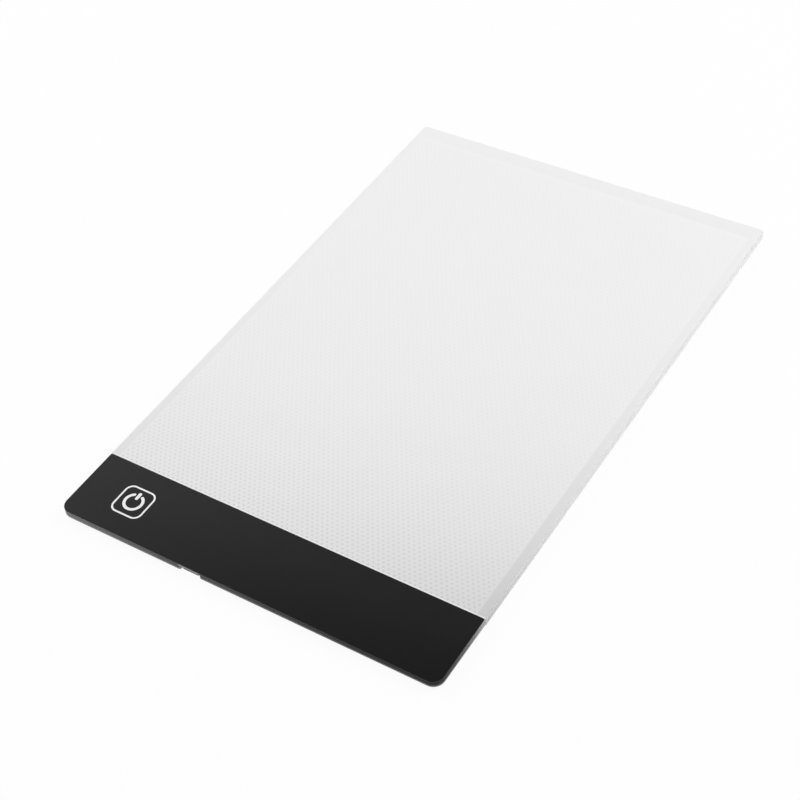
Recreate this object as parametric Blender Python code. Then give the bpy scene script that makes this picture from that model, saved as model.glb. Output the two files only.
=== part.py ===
"""Edge-lit A5 tracing pad with a touch key and a micro-USB inlet, as an assembly of its pieces.

X runs across the short side, Y from the control strip to the far end, Z up. The origin is the
centre of the footprint, on the surface that the feet stand on. All sizes are in metres.
"""

import math

import bmesh
import bpy

# Overall size of the pad and of its black control strip
PAD_WIDTH = 0.150
PAD_LENGTH = 0.235
STRIP_DEPTH = 0.0282
FRONT_CORNER_RADIUS = 0.0040
FAR_CORNER_RADIUS = 0.0008

# Layers, from the feet upwards
FOOT_HEIGHT = 0.0005
BACK_COVER_THICKNESS = 0.0002
REFLECTOR_THICKNESS = 0.00015
LIGHT_GUIDE_THICKNESS = 0.0017
ADHESIVE_THICKNESS = 0.0001
PANEL_THICKNESS = 0.0009
OVERLAY_THICKNESS = 0.00012
LAYER_GAP = 0.00005

# Clearances
SEAM_GAP = 0.00015
SLIDE_GAP = 0.0003
CUT_OVERRUN = 0.001
ROOT_SINK = 0.0001

# Drawing panel, overlay and adhesive frame
PANEL_EDGE_RADIUS = 0.0002
LAND_DEPTH = 0.00012
OVERLAY_INSET = 0.00012
OVERLAY_FAR_RADIUS = 0.0006
ADHESIVE_INSET = 0.0001
ADHESIVE_WIDTH = 0.003
ADHESIVE_FAR_WIDTH = 0.006
ADHESIVE_BREAK = 0.0098

# Light guide and its tapes
GUIDE_TUCK = 0.0035
EDGE_TAPE_THICKNESS = 0.0001
MASK_TAPE_WIDTH = 0.0078

# Moulded tray of the control strip
BASE_WALL = 0.0012
BASE_EDGE_RADIUS = 0.0007
PEG_RADIUS = 0.00075
PEG_STAND = 0.0003
RIB_THICKNESS = 0.0008
RIB_TOP_GAP = 0.0002
LONG_RIB_FROM_BOARD = 0.0065
LONG_RIB_FROM_SIDE = 0.0070
LONG_RIB_SETBACK = 0.0095
CROSS_RIB_LENGTH = 0.0120
CROSS_RIB_COUNT = 4

# Notch in the front wall, for the plug
NOTCH_FROM_LEFT = 0.0550
NOTCH_SIDE_GAP = 0.00015
NOTCH_CORNER_RADIUS = 0.0011

# Micro-USB receptacle
INLET_WIDTH = 0.0075
INLET_HEIGHT = 0.00225
INLET_LENGTH = 0.0050
INLET_WALL = 0.0002
INLET_RECESS = 0.0009
INLET_SHOULDER = 0.00085
INLET_TAPER = 0.00075
TAB_REACH = 0.0009
TAB_LENGTH = 0.0011
TAB_SPACING = 0.0024
INSULATOR_DEPTH = 0.0013
TONGUE_WIDTH = 0.0037
TONGUE_THICKNESS = 0.0006
TONGUE_SETBACK = 0.0009
CONTACT_COUNT = 5
CONTACT_PITCH = 0.00065
CONTACT_WIDTH = 0.0003
CONTACT_THICKNESS = 0.00008
CONTACT_TAIL = 0.0010
CONTACT_CROWN = 0.00006
CONTACT_CROWN_LENGTH = 0.0008
CONTACT_GAP = 0.00002

# Control board and what stands on it
BOARD_THICKNESS = 0.0006
BOARD_LEFT_INSET = 0.0105
BOARD_PAST_INLET = 0.00375
BOARD_TO_LED_BOARD = 0.00105
BOARD_PEG_INSET = 0.0030
BOARD_PEG_TO_TAB = 0.00185
KEY_FROM_LEFT = 0.0211
ELECTRODE_TO_TAPE = 0.00085
ELECTRODE_RADIUS = 0.0020
ELECTRODE_THICKNESS = 0.0001
FOAM_INSET = 0.0010
CHIP_LENGTH = 0.0029
CHIP_WIDTH = 0.0016
CHIP_HEIGHT = 0.0010
CHIP_DRAFT = 0.00015
CHIP_STAND = 0.00008
CHIP_ROW_PITCH = 0.00095
LEAD_WIDTH = 0.0004
LEAD_THICKNESS = 0.00013
LEAD_HEIGHT = 0.0004
LEAD_KNEE = 0.00025
LEAD_FOOT = 0.0004
CHIP_FROM_KEY = 0.0125
TRANSISTOR_FROM_KEY = 0.0205
RESISTOR_LENGTH = 0.0016
RESISTOR_WIDTH = 0.0008
RESISTOR_HEIGHT = 0.00045
RESISTOR_COUNT = 3
RESISTOR_PITCH = 0.0032
RESISTOR_SETBACK = 0.0060
CAPACITOR_LENGTH = 0.0020
CAPACITOR_WIDTH = 0.00125
CAPACITOR_HEIGHT = 0.00085
CAPACITOR_COUNT = 2
CAPACITOR_PITCH = 0.0030
CAPACITOR_FROM_KEY = 0.0270
END_CAP_LENGTH = 0.0003
END_CAP_STEP = 0.00003

# LED board
LED_BOARD_THICKNESS = 0.0005
LED_BOARD_WIDTH = 0.0045
LED_BOARD_END_GAP = 0.0025
LED_BOARD_PEG_INSET = 0.0020
LED_COUNT = 14
LED_END_INSET = 0.0063
LED_LENGTH = 0.0038
LED_DEPTH = 0.00105
LED_HEIGHT = 0.00115
LED_FACE_GAP = 0.00025
LED_RIM = 0.0002
LED_WINDOW_DEPTH = 0.0003
LED_WINDOW_DRAFT = 0.0001

# Wires between the two boards
WIRE_DIAMETER = 0.0007
WIRE_SPACING = 0.0018
WIRE_FROM_NOTCH = 0.0024
WIRE_START_OVERLAP = 0.0060
WIRE_END_OVERLAP = 0.0022
WIRE_SWAY = 0.0012

# Feet
FOOT_RADIUS = 0.0040
FOOT_EDGE_RADIUS = 0.00015
FOOT_SIDE_INSET = 0.0120
FOOT_FRONT_INSET = 0.0130
FOOT_FAR_INSET = 0.0120

# Facets
CORNER_STEPS = 10
SMALL_STEPS = 6
ROUND_STEPS = 32
PEG_STEPS = 16
EDGE_STEPS = 3
WIRE_POINTS = 14
WIRE_RESOLUTION = 2
SHARP_ANGLE = math.radians(30)
ROUND_EDGE_SHARE = 0.5

# Faces of the pad and heights of its layers
LEFT, RIGHT = -PAD_WIDTH / 2, PAD_WIDTH / 2
FRONT, FAR = -PAD_LENGTH / 2, PAD_LENGTH / 2
STRIP_FAR = FRONT + STRIP_DEPTH
LIT_FRONT = STRIP_FAR + SEAM_GAP
BODY_BOTTOM = FOOT_HEIGHT + LAYER_GAP
REFLECTOR_BOTTOM = BODY_BOTTOM + BACK_COVER_THICKNESS + LAYER_GAP
GUIDE_BOTTOM = REFLECTOR_BOTTOM + REFLECTOR_THICKNESS + LAYER_GAP
GUIDE_TOP = GUIDE_BOTTOM + LIGHT_GUIDE_THICKNESS
ADHESIVE_BOTTOM = GUIDE_TOP + LAYER_GAP
ADHESIVE_TOP = ADHESIVE_BOTTOM + ADHESIVE_THICKNESS
PANEL_BOTTOM = ADHESIVE_TOP + LAYER_GAP
PANEL_TOP = PANEL_BOTTOM + PANEL_THICKNESS
LAND_TOP = PANEL_TOP - LAND_DEPTH
OVERLAY_BOTTOM = LAND_TOP + LAYER_GAP
FLOOR_TOP = GUIDE_BOTTOM - LAYER_GAP
BOARD_BOTTOM = FLOOR_TOP + LAYER_GAP
BOARD_TOP = BOARD_BOTTOM + BOARD_THICKNESS
LED_BOARD_TOP = BOARD_BOTTOM + LED_BOARD_THICKNESS

# Places in plan that several pieces share
NOTCH_X = LEFT + NOTCH_FROM_LEFT
KEY_X = LEFT + KEY_FROM_LEFT
KEY_Y = FRONT + STRIP_DEPTH / 2
INLET_MOUTH = FRONT + INLET_RECESS
INLET_REAR = INLET_MOUTH + INLET_LENGTH
INLET_BOTTOM = PANEL_BOTTOM - LAYER_GAP - INLET_HEIGHT
GUIDE_SIDE = RIGHT - EDGE_TAPE_THICKNESS - LAYER_GAP
GUIDE_FAR = FAR - EDGE_TAPE_THICKNESS - LAYER_GAP
GUIDE_FAR_RADIUS = FAR_CORNER_RADIUS - EDGE_TAPE_THICKNESS - LAYER_GAP
GUIDE_EDGE = STRIP_FAR - GUIDE_TUCK
TRAY_SIDE = RIGHT - BASE_WALL
LED_FACE = GUIDE_EDGE - LED_FACE_GAP
LED_BOARD_REAR = LED_FACE - LED_BOARD_WIDTH
LED_BOARD_SIDE = TRAY_SIDE - LED_BOARD_END_GAP
LED_BOARD_PEG_Y = LED_BOARD_REAR + LED_BOARD_PEG_INSET
LED_SPREAD = 2 * (LED_BOARD_SIDE - LED_END_INSET)
BOARD_FRONT = FRONT + BASE_WALL + SLIDE_GAP
BOARD_FAR = LED_BOARD_REAR - BOARD_TO_LED_BOARD
BOARD_LEFT = LEFT + BOARD_LEFT_INSET
BOARD_RIGHT = NOTCH_X + INLET_WIDTH / 2 + BOARD_PAST_INLET
TAB_LEFT = NOTCH_X - INLET_WIDTH / 2 - TAB_REACH
BOARD_PEG_Y = BOARD_FRONT + BOARD_PEG_INSET
BOARD_PEGS = [(BOARD_LEFT + BOARD_PEG_INSET, BOARD_PEG_Y), (TAB_LEFT - BOARD_PEG_TO_TAB, BOARD_PEG_Y)]
LED_BOARD_PEGS = [(side * (LED_BOARD_SIDE - LED_BOARD_PEG_INSET), LED_BOARD_PEG_Y) for side in (-1, 1)]
ELECTRODE_HALF = LED_BOARD_REAR - ELECTRODE_TO_TAPE - KEY_Y


def clear_scene():
    """Removes what the scene holds, so that the pad stands alone."""
    for old in list(bpy.data.objects):
        bpy.data.objects.remove(old, do_unlink=True)


def finish_material(name, colour, roughness, metallic=0.0):
    """A Principled BSDF material in one colour."""
    made = bpy.data.materials.new(name)
    made.use_nodes = True
    shader = made.node_tree.nodes["Principled BSDF"]
    shader.inputs["Base Color"].default_value = (*colour, 1.0)
    shader.inputs["Roughness"].default_value = roughness
    shader.inputs["Metallic"].default_value = metallic
    made.diffuse_color = (*colour, 1.0)
    return made


def place(name, mesh, material, assembly, at=(0, 0, 0)):
    """Puts a mesh in the scene as one named piece of the assembly."""
    piece = bpy.data.objects.new(name, mesh)
    bpy.context.scene.collection.objects.link(piece)
    if not mesh.materials:
        mesh.materials.append(material)
    piece.location = at
    piece.parent = assembly
    return piece


def helper(name, mesh):
    """A shape that only cuts or joins another piece, and isn't one itself."""
    made = bpy.data.objects.new(name, mesh)
    bpy.context.scene.collection.objects.link(made)
    made.hide_render = True
    made.display_type = "WIRE"
    return made


def boolean(piece, other, operation):
    """Cuts the helper from the piece, or joins it on."""
    step = piece.modifiers.new(other.name, "BOOLEAN")
    step.operation = operation
    step.solver = "EXACT"
    step.object = other


def to_mesh(name, form, smooth=False):
    """Turns a bmesh into a mesh whose faces point outwards."""
    bmesh.ops.recalc_face_normals(form, faces=form.faces)
    mesh = bpy.data.meshes.new(name)
    form.to_mesh(mesh)
    form.free()
    if smooth:
        mesh.shade_smooth()
        mesh.set_sharp_from_angle(angle=SHARP_ANGLE)
    return mesh


def arc(centre_x, centre_y, radius, start, sweep, steps):
    """Points along part of a circle, angles in quarter turns."""
    turns = [(start + sweep * step / steps) * math.pi / 2 for step in range(steps + 1)]
    return [(centre_x + radius * math.cos(turn), centre_y + radius * math.sin(turn)) for turn in turns]


def rounded_outline(left, right, front, far, front_radius, far_radius, steps=CORNER_STEPS):
    """A rectangle with one radius at its two front corners and one at its two far corners."""
    corners = (
        (right - front_radius, front + front_radius, front_radius, -1),
        (right - far_radius, far - far_radius, far_radius, 0),
        (left + far_radius, far - far_radius, far_radius, 1),
        (left + front_radius, front + front_radius, front_radius, 2),
    )
    points = []
    for x, y, radius, quarter in corners:
        points += arc(x, y, radius, quarter, 1, steps) if radius > 0 else [(x, y)]
    return points


def circle_outline(x, y, radius, steps=ROUND_STEPS):
    """A full circle, without its closing point."""
    return arc(x, y, radius, 0, 4, steps)[:-1]


def inset_outline(points, distance):
    """A convex outline moved inwards by the same distance all round."""
    moved = []
    for index, (x, y) in enumerate(points):
        before = points[index - 1]
        after = points[(index + 1) % len(points)]
        first = math.atan2(y - before[1], x - before[0])
        second = math.atan2(after[1] - y, after[0] - x)
        middle = (first + second + (2 * math.pi if second < first else 0)) / 2
        reach = distance / math.cos(middle - first)
        moved.append((x - reach * math.sin(middle), y + reach * math.cos(middle)))
    return moved


def add_prism(form, outline, low, high, along="Z"):
    """Adds a closed prism to a bmesh. Its outline lies in XY, or in XZ or YZ for the other axes."""
    orders = {"Z": lambda a, b, c: (a, b, c), "Y": lambda a, b, c: (a, c, b), "X": lambda a, b, c: (c, a, b)}
    order = orders[along]
    lower = [form.verts.new(order(a, b, low)) for a, b in outline]
    upper = [form.verts.new(order(a, b, high)) for a, b in outline]
    faces = [form.faces.new(lower[::-1]), form.faces.new(upper)]
    for index in range(len(outline)):
        after = (index + 1) % len(outline)
        faces.append(form.faces.new((lower[index], lower[after], upper[after], upper[index])))
    for face in faces:
        face.normal_update()
    return faces


def prism(name, outline, low, high, along="Z", smooth=False):
    """A mesh of one prism."""
    form = bmesh.new()
    add_prism(form, outline, low, high, along)
    return to_mesh(name, form, smooth)


def round_edges(form, edges, radius):
    """Rounds the given edges of a bmesh."""
    bmesh.ops.bevel(
        form, geom=list(edges), offset=radius, segments=EDGE_STEPS, profile=ROUND_EDGE_SHARE, affect="EDGES"
    )


def rimmed_plate(name, outline, low, high, radius, rim, smooth=True):
    """A plate with its top or its bottom rim rounded."""
    form = bmesh.new()
    bottom, top = add_prism(form, outline, low, high)[:2]
    round_edges(form, (top if rim == "top" else bottom).edges, radius)
    return to_mesh(name, form, smooth)


def box_outline(left, right, front, far):
    """A plain rectangle."""
    return [(left, front), (right, front), (right, far), (left, far)]


def make_panel(assembly, materials):
    """The clear sheet that is drawn on, over the whole face, with a lower land for the film."""
    outline = rounded_outline(LEFT, RIGHT, FRONT, FAR, FRONT_CORNER_RADIUS, FAR_CORNER_RADIUS)
    mesh = rimmed_plate("drawing_panel", outline, PANEL_BOTTOM, PANEL_TOP, PANEL_EDGE_RADIUS, "top")
    panel = place("drawing_panel", mesh, materials["acrylic"], assembly)
    land = box_outline(LEFT - CUT_OVERRUN, RIGHT + CUT_OVERRUN, FRONT - CUT_OVERRUN, LIT_FRONT)
    land_mesh = prism("panel_land", land, LAND_TOP, PANEL_TOP + CUT_OVERRUN)
    boolean(panel, helper("panel_land", land_mesh), "DIFFERENCE")


def make_overlay(assembly, materials):
    """The black film that carries the printed key, seated in the land of the panel."""
    outline = rounded_outline(
        LEFT + OVERLAY_INSET, RIGHT - OVERLAY_INSET, FRONT + OVERLAY_INSET, STRIP_FAR,
        FRONT_CORNER_RADIUS - OVERLAY_INSET, OVERLAY_FAR_RADIUS,
    )
    mesh = prism("control_overlay", outline, OVERLAY_BOTTOM, OVERLAY_BOTTOM + OVERLAY_THICKNESS, smooth=True)
    place("control_overlay", mesh, materials["overlay"], assembly)


def make_adhesive(assembly, materials):
    """The die-cut frame of double-sided tape under the panel, with a break over the inlet."""
    outer = rounded_outline(
        LEFT + ADHESIVE_INSET, RIGHT - ADHESIVE_INSET, FRONT + ADHESIVE_INSET, FAR - ADHESIVE_INSET,
        FRONT_CORNER_RADIUS - ADHESIVE_INSET, FAR_CORNER_RADIUS - ADHESIVE_INSET,
    )
    mesh = prism("panel_adhesive", outer, ADHESIVE_BOTTOM, ADHESIVE_TOP)
    frame = place("panel_adhesive", mesh, materials["tape_clear"], assembly)
    reach = ADHESIVE_INSET + ADHESIVE_WIDTH
    far_reach = ADHESIVE_INSET + ADHESIVE_FAR_WIDTH
    inside = box_outline(LEFT + reach, RIGHT - reach, FRONT + reach, FAR - far_reach)
    port_side = ADHESIVE_BREAK / 2
    port_far = FRONT + reach + CUT_OVERRUN
    port = box_outline(NOTCH_X - port_side, NOTCH_X + port_side, FRONT - CUT_OVERRUN, port_far)
    for name, outline in (("adhesive_window", inside), ("adhesive_break", port)):
        cutter = prism(name, outline, ADHESIVE_BOTTOM - CUT_OVERRUN, ADHESIVE_TOP + CUT_OVERRUN)
        boolean(frame, helper(name, cutter), "DIFFERENCE")


def make_light_guide(assembly, materials):
    """The plate that carries the light: full width in the lit part, narrower where it enters the tray."""
    tongue_side = TRAY_SIDE - SLIDE_GAP
    wide = rounded_outline(-GUIDE_SIDE, GUIDE_SIDE, LIT_FRONT, GUIDE_FAR, 0, GUIDE_FAR_RADIUS)
    # The wide outline starts at its right front corner and ends at its left one.
    outline = wide + [
        (-tongue_side, LIT_FRONT), (-tongue_side, GUIDE_EDGE),
        (tongue_side, GUIDE_EDGE), (tongue_side, LIT_FRONT),
    ]
    mesh = prism("light_guide", outline, GUIDE_BOTTOM, GUIDE_TOP, smooth=True)
    place("light_guide", mesh, materials["guide"], assembly)


def make_reflector(assembly, materials):
    """The white film that throws the light back up."""
    outline = rounded_outline(-GUIDE_SIDE, GUIDE_SIDE, LIT_FRONT, GUIDE_FAR, 0, GUIDE_FAR_RADIUS)
    top = REFLECTOR_BOTTOM + REFLECTOR_THICKNESS
    mesh = prism("reflector_film", outline, REFLECTOR_BOTTOM, top, smooth=True)
    place("reflector_film", mesh, materials["film"], assembly)


def make_edge_tape(assembly, materials):
    """One run of white tape round the left, far and right edges of the light guide."""
    inner_radius = FAR_CORNER_RADIUS - EDGE_TAPE_THICKNESS
    outside = rounded_outline(LEFT, RIGHT, LIT_FRONT, FAR, 0, FAR_CORNER_RADIUS)
    inside = rounded_outline(
        LEFT + EDGE_TAPE_THICKNESS, RIGHT - EDGE_TAPE_THICKNESS, LIT_FRONT, FAR - EDGE_TAPE_THICKNESS,
        0, inner_radius,
    )
    mesh = prism("edge_tape", outside + inside[::-1], REFLECTOR_BOTTOM, GUIDE_TOP, smooth=True)
    place("edge_tape", mesh, materials["tape_white"], assembly)


def make_back_cover(assembly, materials):
    """The white sheet that closes the back behind the strip."""
    outline = rounded_outline(LEFT, RIGHT, LIT_FRONT, FAR, 0, FAR_CORNER_RADIUS)
    mesh = prism("back_cover", outline, BODY_BOTTOM, BODY_BOTTOM + BACK_COVER_THICKNESS, smooth=True)
    place("back_cover", mesh, materials["back"], assembly)


def make_mask_tape(assembly, materials):
    """The tape over the LEDs and the edge of the light guide."""
    side = RIGHT - ADHESIVE_INSET - ADHESIVE_WIDTH - SLIDE_GAP
    outline = box_outline(-side, side, LED_BOARD_REAR, LED_BOARD_REAR + MASK_TAPE_WIDTH)
    mesh = prism("led_mask_tape", outline, ADHESIVE_BOTTOM, ADHESIVE_TOP)
    place("led_mask_tape", mesh, materials["tape_white"], assembly)


def notch_outline():
    """Plan of the notch: straight sides that round out into the front face of the wall."""
    half = INLET_WIDTH / 2 + NOTCH_SIDE_GAP
    radius = NOTCH_CORNER_RADIUS
    inner = INLET_REAR + SLIDE_GAP
    outer = FRONT - CUT_OVERRUN
    right = arc(NOTCH_X + half + radius, FRONT + radius, radius, -1, -1, SMALL_STEPS)
    left = arc(NOTCH_X - half - radius, FRONT + radius, radius, 0, -1, SMALL_STEPS)
    return (
        [(NOTCH_X - half - radius, outer), (NOTCH_X + half + radius, outer)]
        + right
        + [(NOTCH_X + half, inner), (NOTCH_X - half, inner)]
        + left
    )


def make_base(assembly, materials):
    """The moulded tray of the strip: floor, three walls, notch, ribs and locating pegs."""
    outline = rounded_outline(LEFT, RIGHT, FRONT, STRIP_FAR, FRONT_CORNER_RADIUS, 0)
    form = bmesh.new()
    bottom = add_prism(form, outline, BODY_BOTTOM, GUIDE_TOP)[0]
    open_side = STRIP_FAR - BASE_WALL
    outer_rim = [edge for edge in bottom.edges if min(vert.co.y for vert in edge.verts) < open_side]
    round_edges(form, outer_rim, BASE_EDGE_RADIUS)
    base = place("strip_base", to_mesh("strip_base", form, True), materials["housing"], assembly)

    hollow = rounded_outline(
        -TRAY_SIDE, TRAY_SIDE, FRONT + BASE_WALL, STRIP_FAR + CUT_OVERRUN, FRONT_CORNER_RADIUS - BASE_WALL, 0
    )
    hollow_mesh = prism("base_hollow", hollow, FLOOR_TOP, GUIDE_TOP + CUT_OVERRUN)
    boolean(base, helper("base_hollow", hollow_mesh), "DIFFERENCE")

    inside = bmesh.new()
    root = FLOOR_TOP - ROOT_SINK
    for x, y in BOARD_PEGS:
        add_prism(inside, circle_outline(x, y, PEG_RADIUS, PEG_STEPS), root, BOARD_TOP + PEG_STAND)
    for x, y in LED_BOARD_PEGS:
        add_prism(inside, circle_outline(x, y, PEG_RADIUS, PEG_STEPS), root, LED_BOARD_TOP + PEG_STAND)
    boolean(base, helper("base_pegs", to_mesh("base_pegs", inside)), "UNION")

    ribs = bmesh.new()
    rib_y = FRONT + LONG_RIB_SETBACK
    rib_top = GUIDE_TOP - RIB_TOP_GAP
    start, end = BOARD_RIGHT + LONG_RIB_FROM_BOARD, RIGHT - LONG_RIB_FROM_SIDE
    half = RIB_THICKNESS / 2
    long_rib = box_outline(start, end, rib_y - half, rib_y + half)
    add_prism(ribs, long_rib, root, rib_top)
    boolean(base, helper("base_long_rib", to_mesh("base_long_rib", ribs)), "UNION")
    cross = bmesh.new()
    for index in range(CROSS_RIB_COUNT):
        x = start + (end - start) * (index + 1) / (CROSS_RIB_COUNT + 1)
        rib = box_outline(x - half, x + half, rib_y - CROSS_RIB_LENGTH / 2, rib_y + CROSS_RIB_LENGTH / 2)
        add_prism(cross, rib, root, rib_top)
    boolean(base, helper("base_cross_ribs", to_mesh("base_cross_ribs", cross)), "UNION")

    notch = prism("base_notch", notch_outline(), BODY_BOTTOM - CUT_OVERRUN, GUIDE_TOP + CUT_OVERRUN)
    boolean(base, helper("base_notch", notch), "DIFFERENCE")


def make_control_board(assembly, materials):
    """The board, with a bay in its front edge for the receptacle and a hole for each peg."""
    bay = INLET_WIDTH / 2 + SEAM_GAP
    bay_far = INLET_REAR + SEAM_GAP
    outline = [
        (BOARD_LEFT, BOARD_FRONT), (NOTCH_X - bay, BOARD_FRONT), (NOTCH_X - bay, bay_far),
        (NOTCH_X + bay, bay_far), (NOTCH_X + bay, BOARD_FRONT), (BOARD_RIGHT, BOARD_FRONT),
        (BOARD_RIGHT, BOARD_FAR), (BOARD_LEFT, BOARD_FAR),
    ]
    mesh = prism("control_board", outline, BOARD_BOTTOM, BOARD_TOP)
    board = place("control_board", mesh, materials["board"], assembly)
    drill(board, "control_board_holes", BOARD_PEGS, BOARD_BOTTOM, BOARD_TOP)


def drill(board, name, places, low, high):
    """Clearance holes for the pegs."""
    form = bmesh.new()
    for x, y in places:
        outline = circle_outline(x, y, PEG_RADIUS + SEAM_GAP, PEG_STEPS)
        add_prism(form, outline, low - CUT_OVERRUN, high + CUT_OVERRUN)
    boolean(board, helper(name, to_mesh(name, form)), "DIFFERENCE")


def make_led_board(assembly, materials):
    """The narrow board along the edge of the light guide."""
    outline = box_outline(-LED_BOARD_SIDE, LED_BOARD_SIDE, LED_BOARD_REAR, LED_FACE)
    mesh = prism("led_board", outline, BOARD_BOTTOM, LED_BOARD_TOP)
    board = place("led_board", mesh, materials["board_white"], assembly)
    drill(board, "led_board_holes", LED_BOARD_PEGS, BOARD_BOTTOM, LED_BOARD_TOP)


def led_mesh():
    """A side-firing LED: a block with a drafted window in the face towards the light guide."""
    form = bmesh.new()
    half = LED_LENGTH / 2
    add_prism(form, box_outline(-half, half, -LED_DEPTH, 0), 0, LED_HEIGHT)
    face = max(form.faces, key=lambda side: side.calc_center_median().y)
    bmesh.ops.inset_individual(form, faces=[face], thickness=LED_RIM)
    pushed = bmesh.ops.extrude_discrete_faces(form, faces=[face])["faces"][0]
    bmesh.ops.translate(form, verts=pushed.verts, vec=(0, -LED_WINDOW_DEPTH, 0))
    bmesh.ops.inset_individual(form, faces=[pushed], thickness=LED_WINDOW_DRAFT)
    return to_mesh("led", form)


def make_leds(assembly, materials):
    """The row of LEDs, which share one mesh."""
    mesh = led_mesh()
    pitch = LED_SPREAD / (LED_COUNT - 1)
    for index in range(LED_COUNT):
        at = (index * pitch - LED_SPREAD / 2, LED_FACE, LED_BOARD_TOP + LAYER_GAP)
        place(f"led_{index + 1:02d}", mesh, materials["led"], assembly, at)


def inlet_profile():
    """Front view of the receptacle: wide above, with its two lower corners drawn in."""
    half = INLET_WIDTH / 2
    return [
        (-half + INLET_TAPER, 0), (half - INLET_TAPER, 0), (half, INLET_SHOULDER), (half, INLET_HEIGHT),
        (-half, INLET_HEIGHT), (-half, INLET_SHOULDER),
    ]


def make_inlet(assembly, materials):
    """The receptacle: steel shell with solder tabs, insulator with its tongue, and the contacts."""
    at = (NOTCH_X, INLET_MOUTH, INLET_BOTTOM)
    profile = inlet_profile()
    shell_mesh = prism("usb_shell", profile, 0, INLET_LENGTH, "Y")
    shell = place("usb_shell", shell_mesh, materials["steel"], assembly, at)
    tabs = bmesh.new()
    tab_low = BOARD_TOP + LAYER_GAP - INLET_BOTTOM
    reach = INLET_WIDTH / 2 + TAB_REACH
    for turn in (-1, 1):
        middle = (INLET_LENGTH + turn * TAB_SPACING) / 2
        outline = box_outline(-reach, reach, middle - TAB_LENGTH / 2, middle + TAB_LENGTH / 2)
        add_prism(tabs, outline, tab_low, tab_low + INLET_WALL)
    joined = helper("usb_shell_tabs", to_mesh("usb_shell_tabs", tabs))
    joined.location = at
    boolean(shell, joined, "UNION")
    bore_outline = inset_outline(profile, INLET_WALL)
    bore_mesh = prism("usb_shell_bore", bore_outline, -CUT_OVERRUN, INLET_LENGTH + CUT_OVERRUN, "Y")
    bore = helper("usb_shell_bore", bore_mesh)
    bore.location = at
    boolean(shell, bore, "DIFFERENCE")

    contact_low = tab_low
    tongue_low = contact_low + CONTACT_THICKNESS + CONTACT_GAP
    plug_outline = inset_outline(profile, INLET_WALL + CONTACT_GAP)
    plug_start = INLET_LENGTH - INSULATOR_DEPTH
    insulator_mesh = prism("usb_insulator", plug_outline, plug_start, INLET_LENGTH, "Y")
    insulator = place("usb_insulator", insulator_mesh, materials["insulator"], assembly, at)
    half_tongue = TONGUE_WIDTH / 2
    tongue_outline = box_outline(-half_tongue, half_tongue, TONGUE_SETBACK, plug_start + ROOT_SINK)
    tongue = prism("usb_tongue", tongue_outline, tongue_low, tongue_low + TONGUE_THICKNESS)
    tongue_helper = helper("usb_tongue", tongue)
    tongue_helper.location = at
    boolean(insulator, tongue_helper, "UNION")
    slot_half = (CONTACT_COUNT * CONTACT_PITCH) / 2
    slot_outline = box_outline(-slot_half, slot_half, plug_start - CUT_OVERRUN, INLET_LENGTH + CUT_OVERRUN)
    slot = prism("usb_insulator_slot", slot_outline, contact_low - LAYER_GAP, tongue_low)
    slot_helper = helper("usb_insulator_slot", slot)
    slot_helper.location = at
    boolean(insulator, slot_helper, "DIFFERENCE")

    contact = contact_mesh(contact_low)
    for index in range(CONTACT_COUNT):
        across = (index - (CONTACT_COUNT - 1) / 2) * CONTACT_PITCH
        contact_at = (at[0] + across, at[1], at[2])
        place(f"usb_contact_{index + 1}", contact, materials["gold"], assembly, contact_at)


def contact_mesh(low):
    """A contact strip: straight along the tongue, with a crown near its tip and a tail on the board."""
    start = TONGUE_SETBACK + CONTACT_CROWN_LENGTH / 2
    crown = start + CONTACT_CROWN_LENGTH
    flat = crown + CONTACT_CROWN_LENGTH
    end = INLET_LENGTH + CONTACT_TAIL
    under = [(start, low), (crown, low - CONTACT_CROWN), (flat, low), (end, low)]
    over = [(along, high + CONTACT_THICKNESS) for along, high in under]
    half = CONTACT_WIDTH / 2
    return prism("usb_contact", under + over[::-1], -half, half, "X")


def make_touch_key(assembly, materials):
    """The copper pad under the printed key and the conductive foam that joins it to the board."""
    half = ELECTRODE_HALF
    low = PANEL_BOTTOM - LAYER_GAP - ELECTRODE_THICKNESS
    outline = rounded_outline(-half, half, -half, half, ELECTRODE_RADIUS, ELECTRODE_RADIUS, SMALL_STEPS)
    mesh = prism("touch_electrode", outline, 0, ELECTRODE_THICKNESS, smooth=True)
    place("touch_electrode", mesh, materials["copper"], assembly, (KEY_X, KEY_Y, low))
    foam_low = BOARD_TOP + LAYER_GAP
    foam_outline = circle_outline(0, 0, half - FOAM_INSET)
    foam = prism("touch_foam", foam_outline, 0, low - LAYER_GAP - foam_low, smooth=True)
    place("touch_foam", foam, materials["foam"], assembly, (KEY_X, KEY_Y, foam_low))


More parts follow.
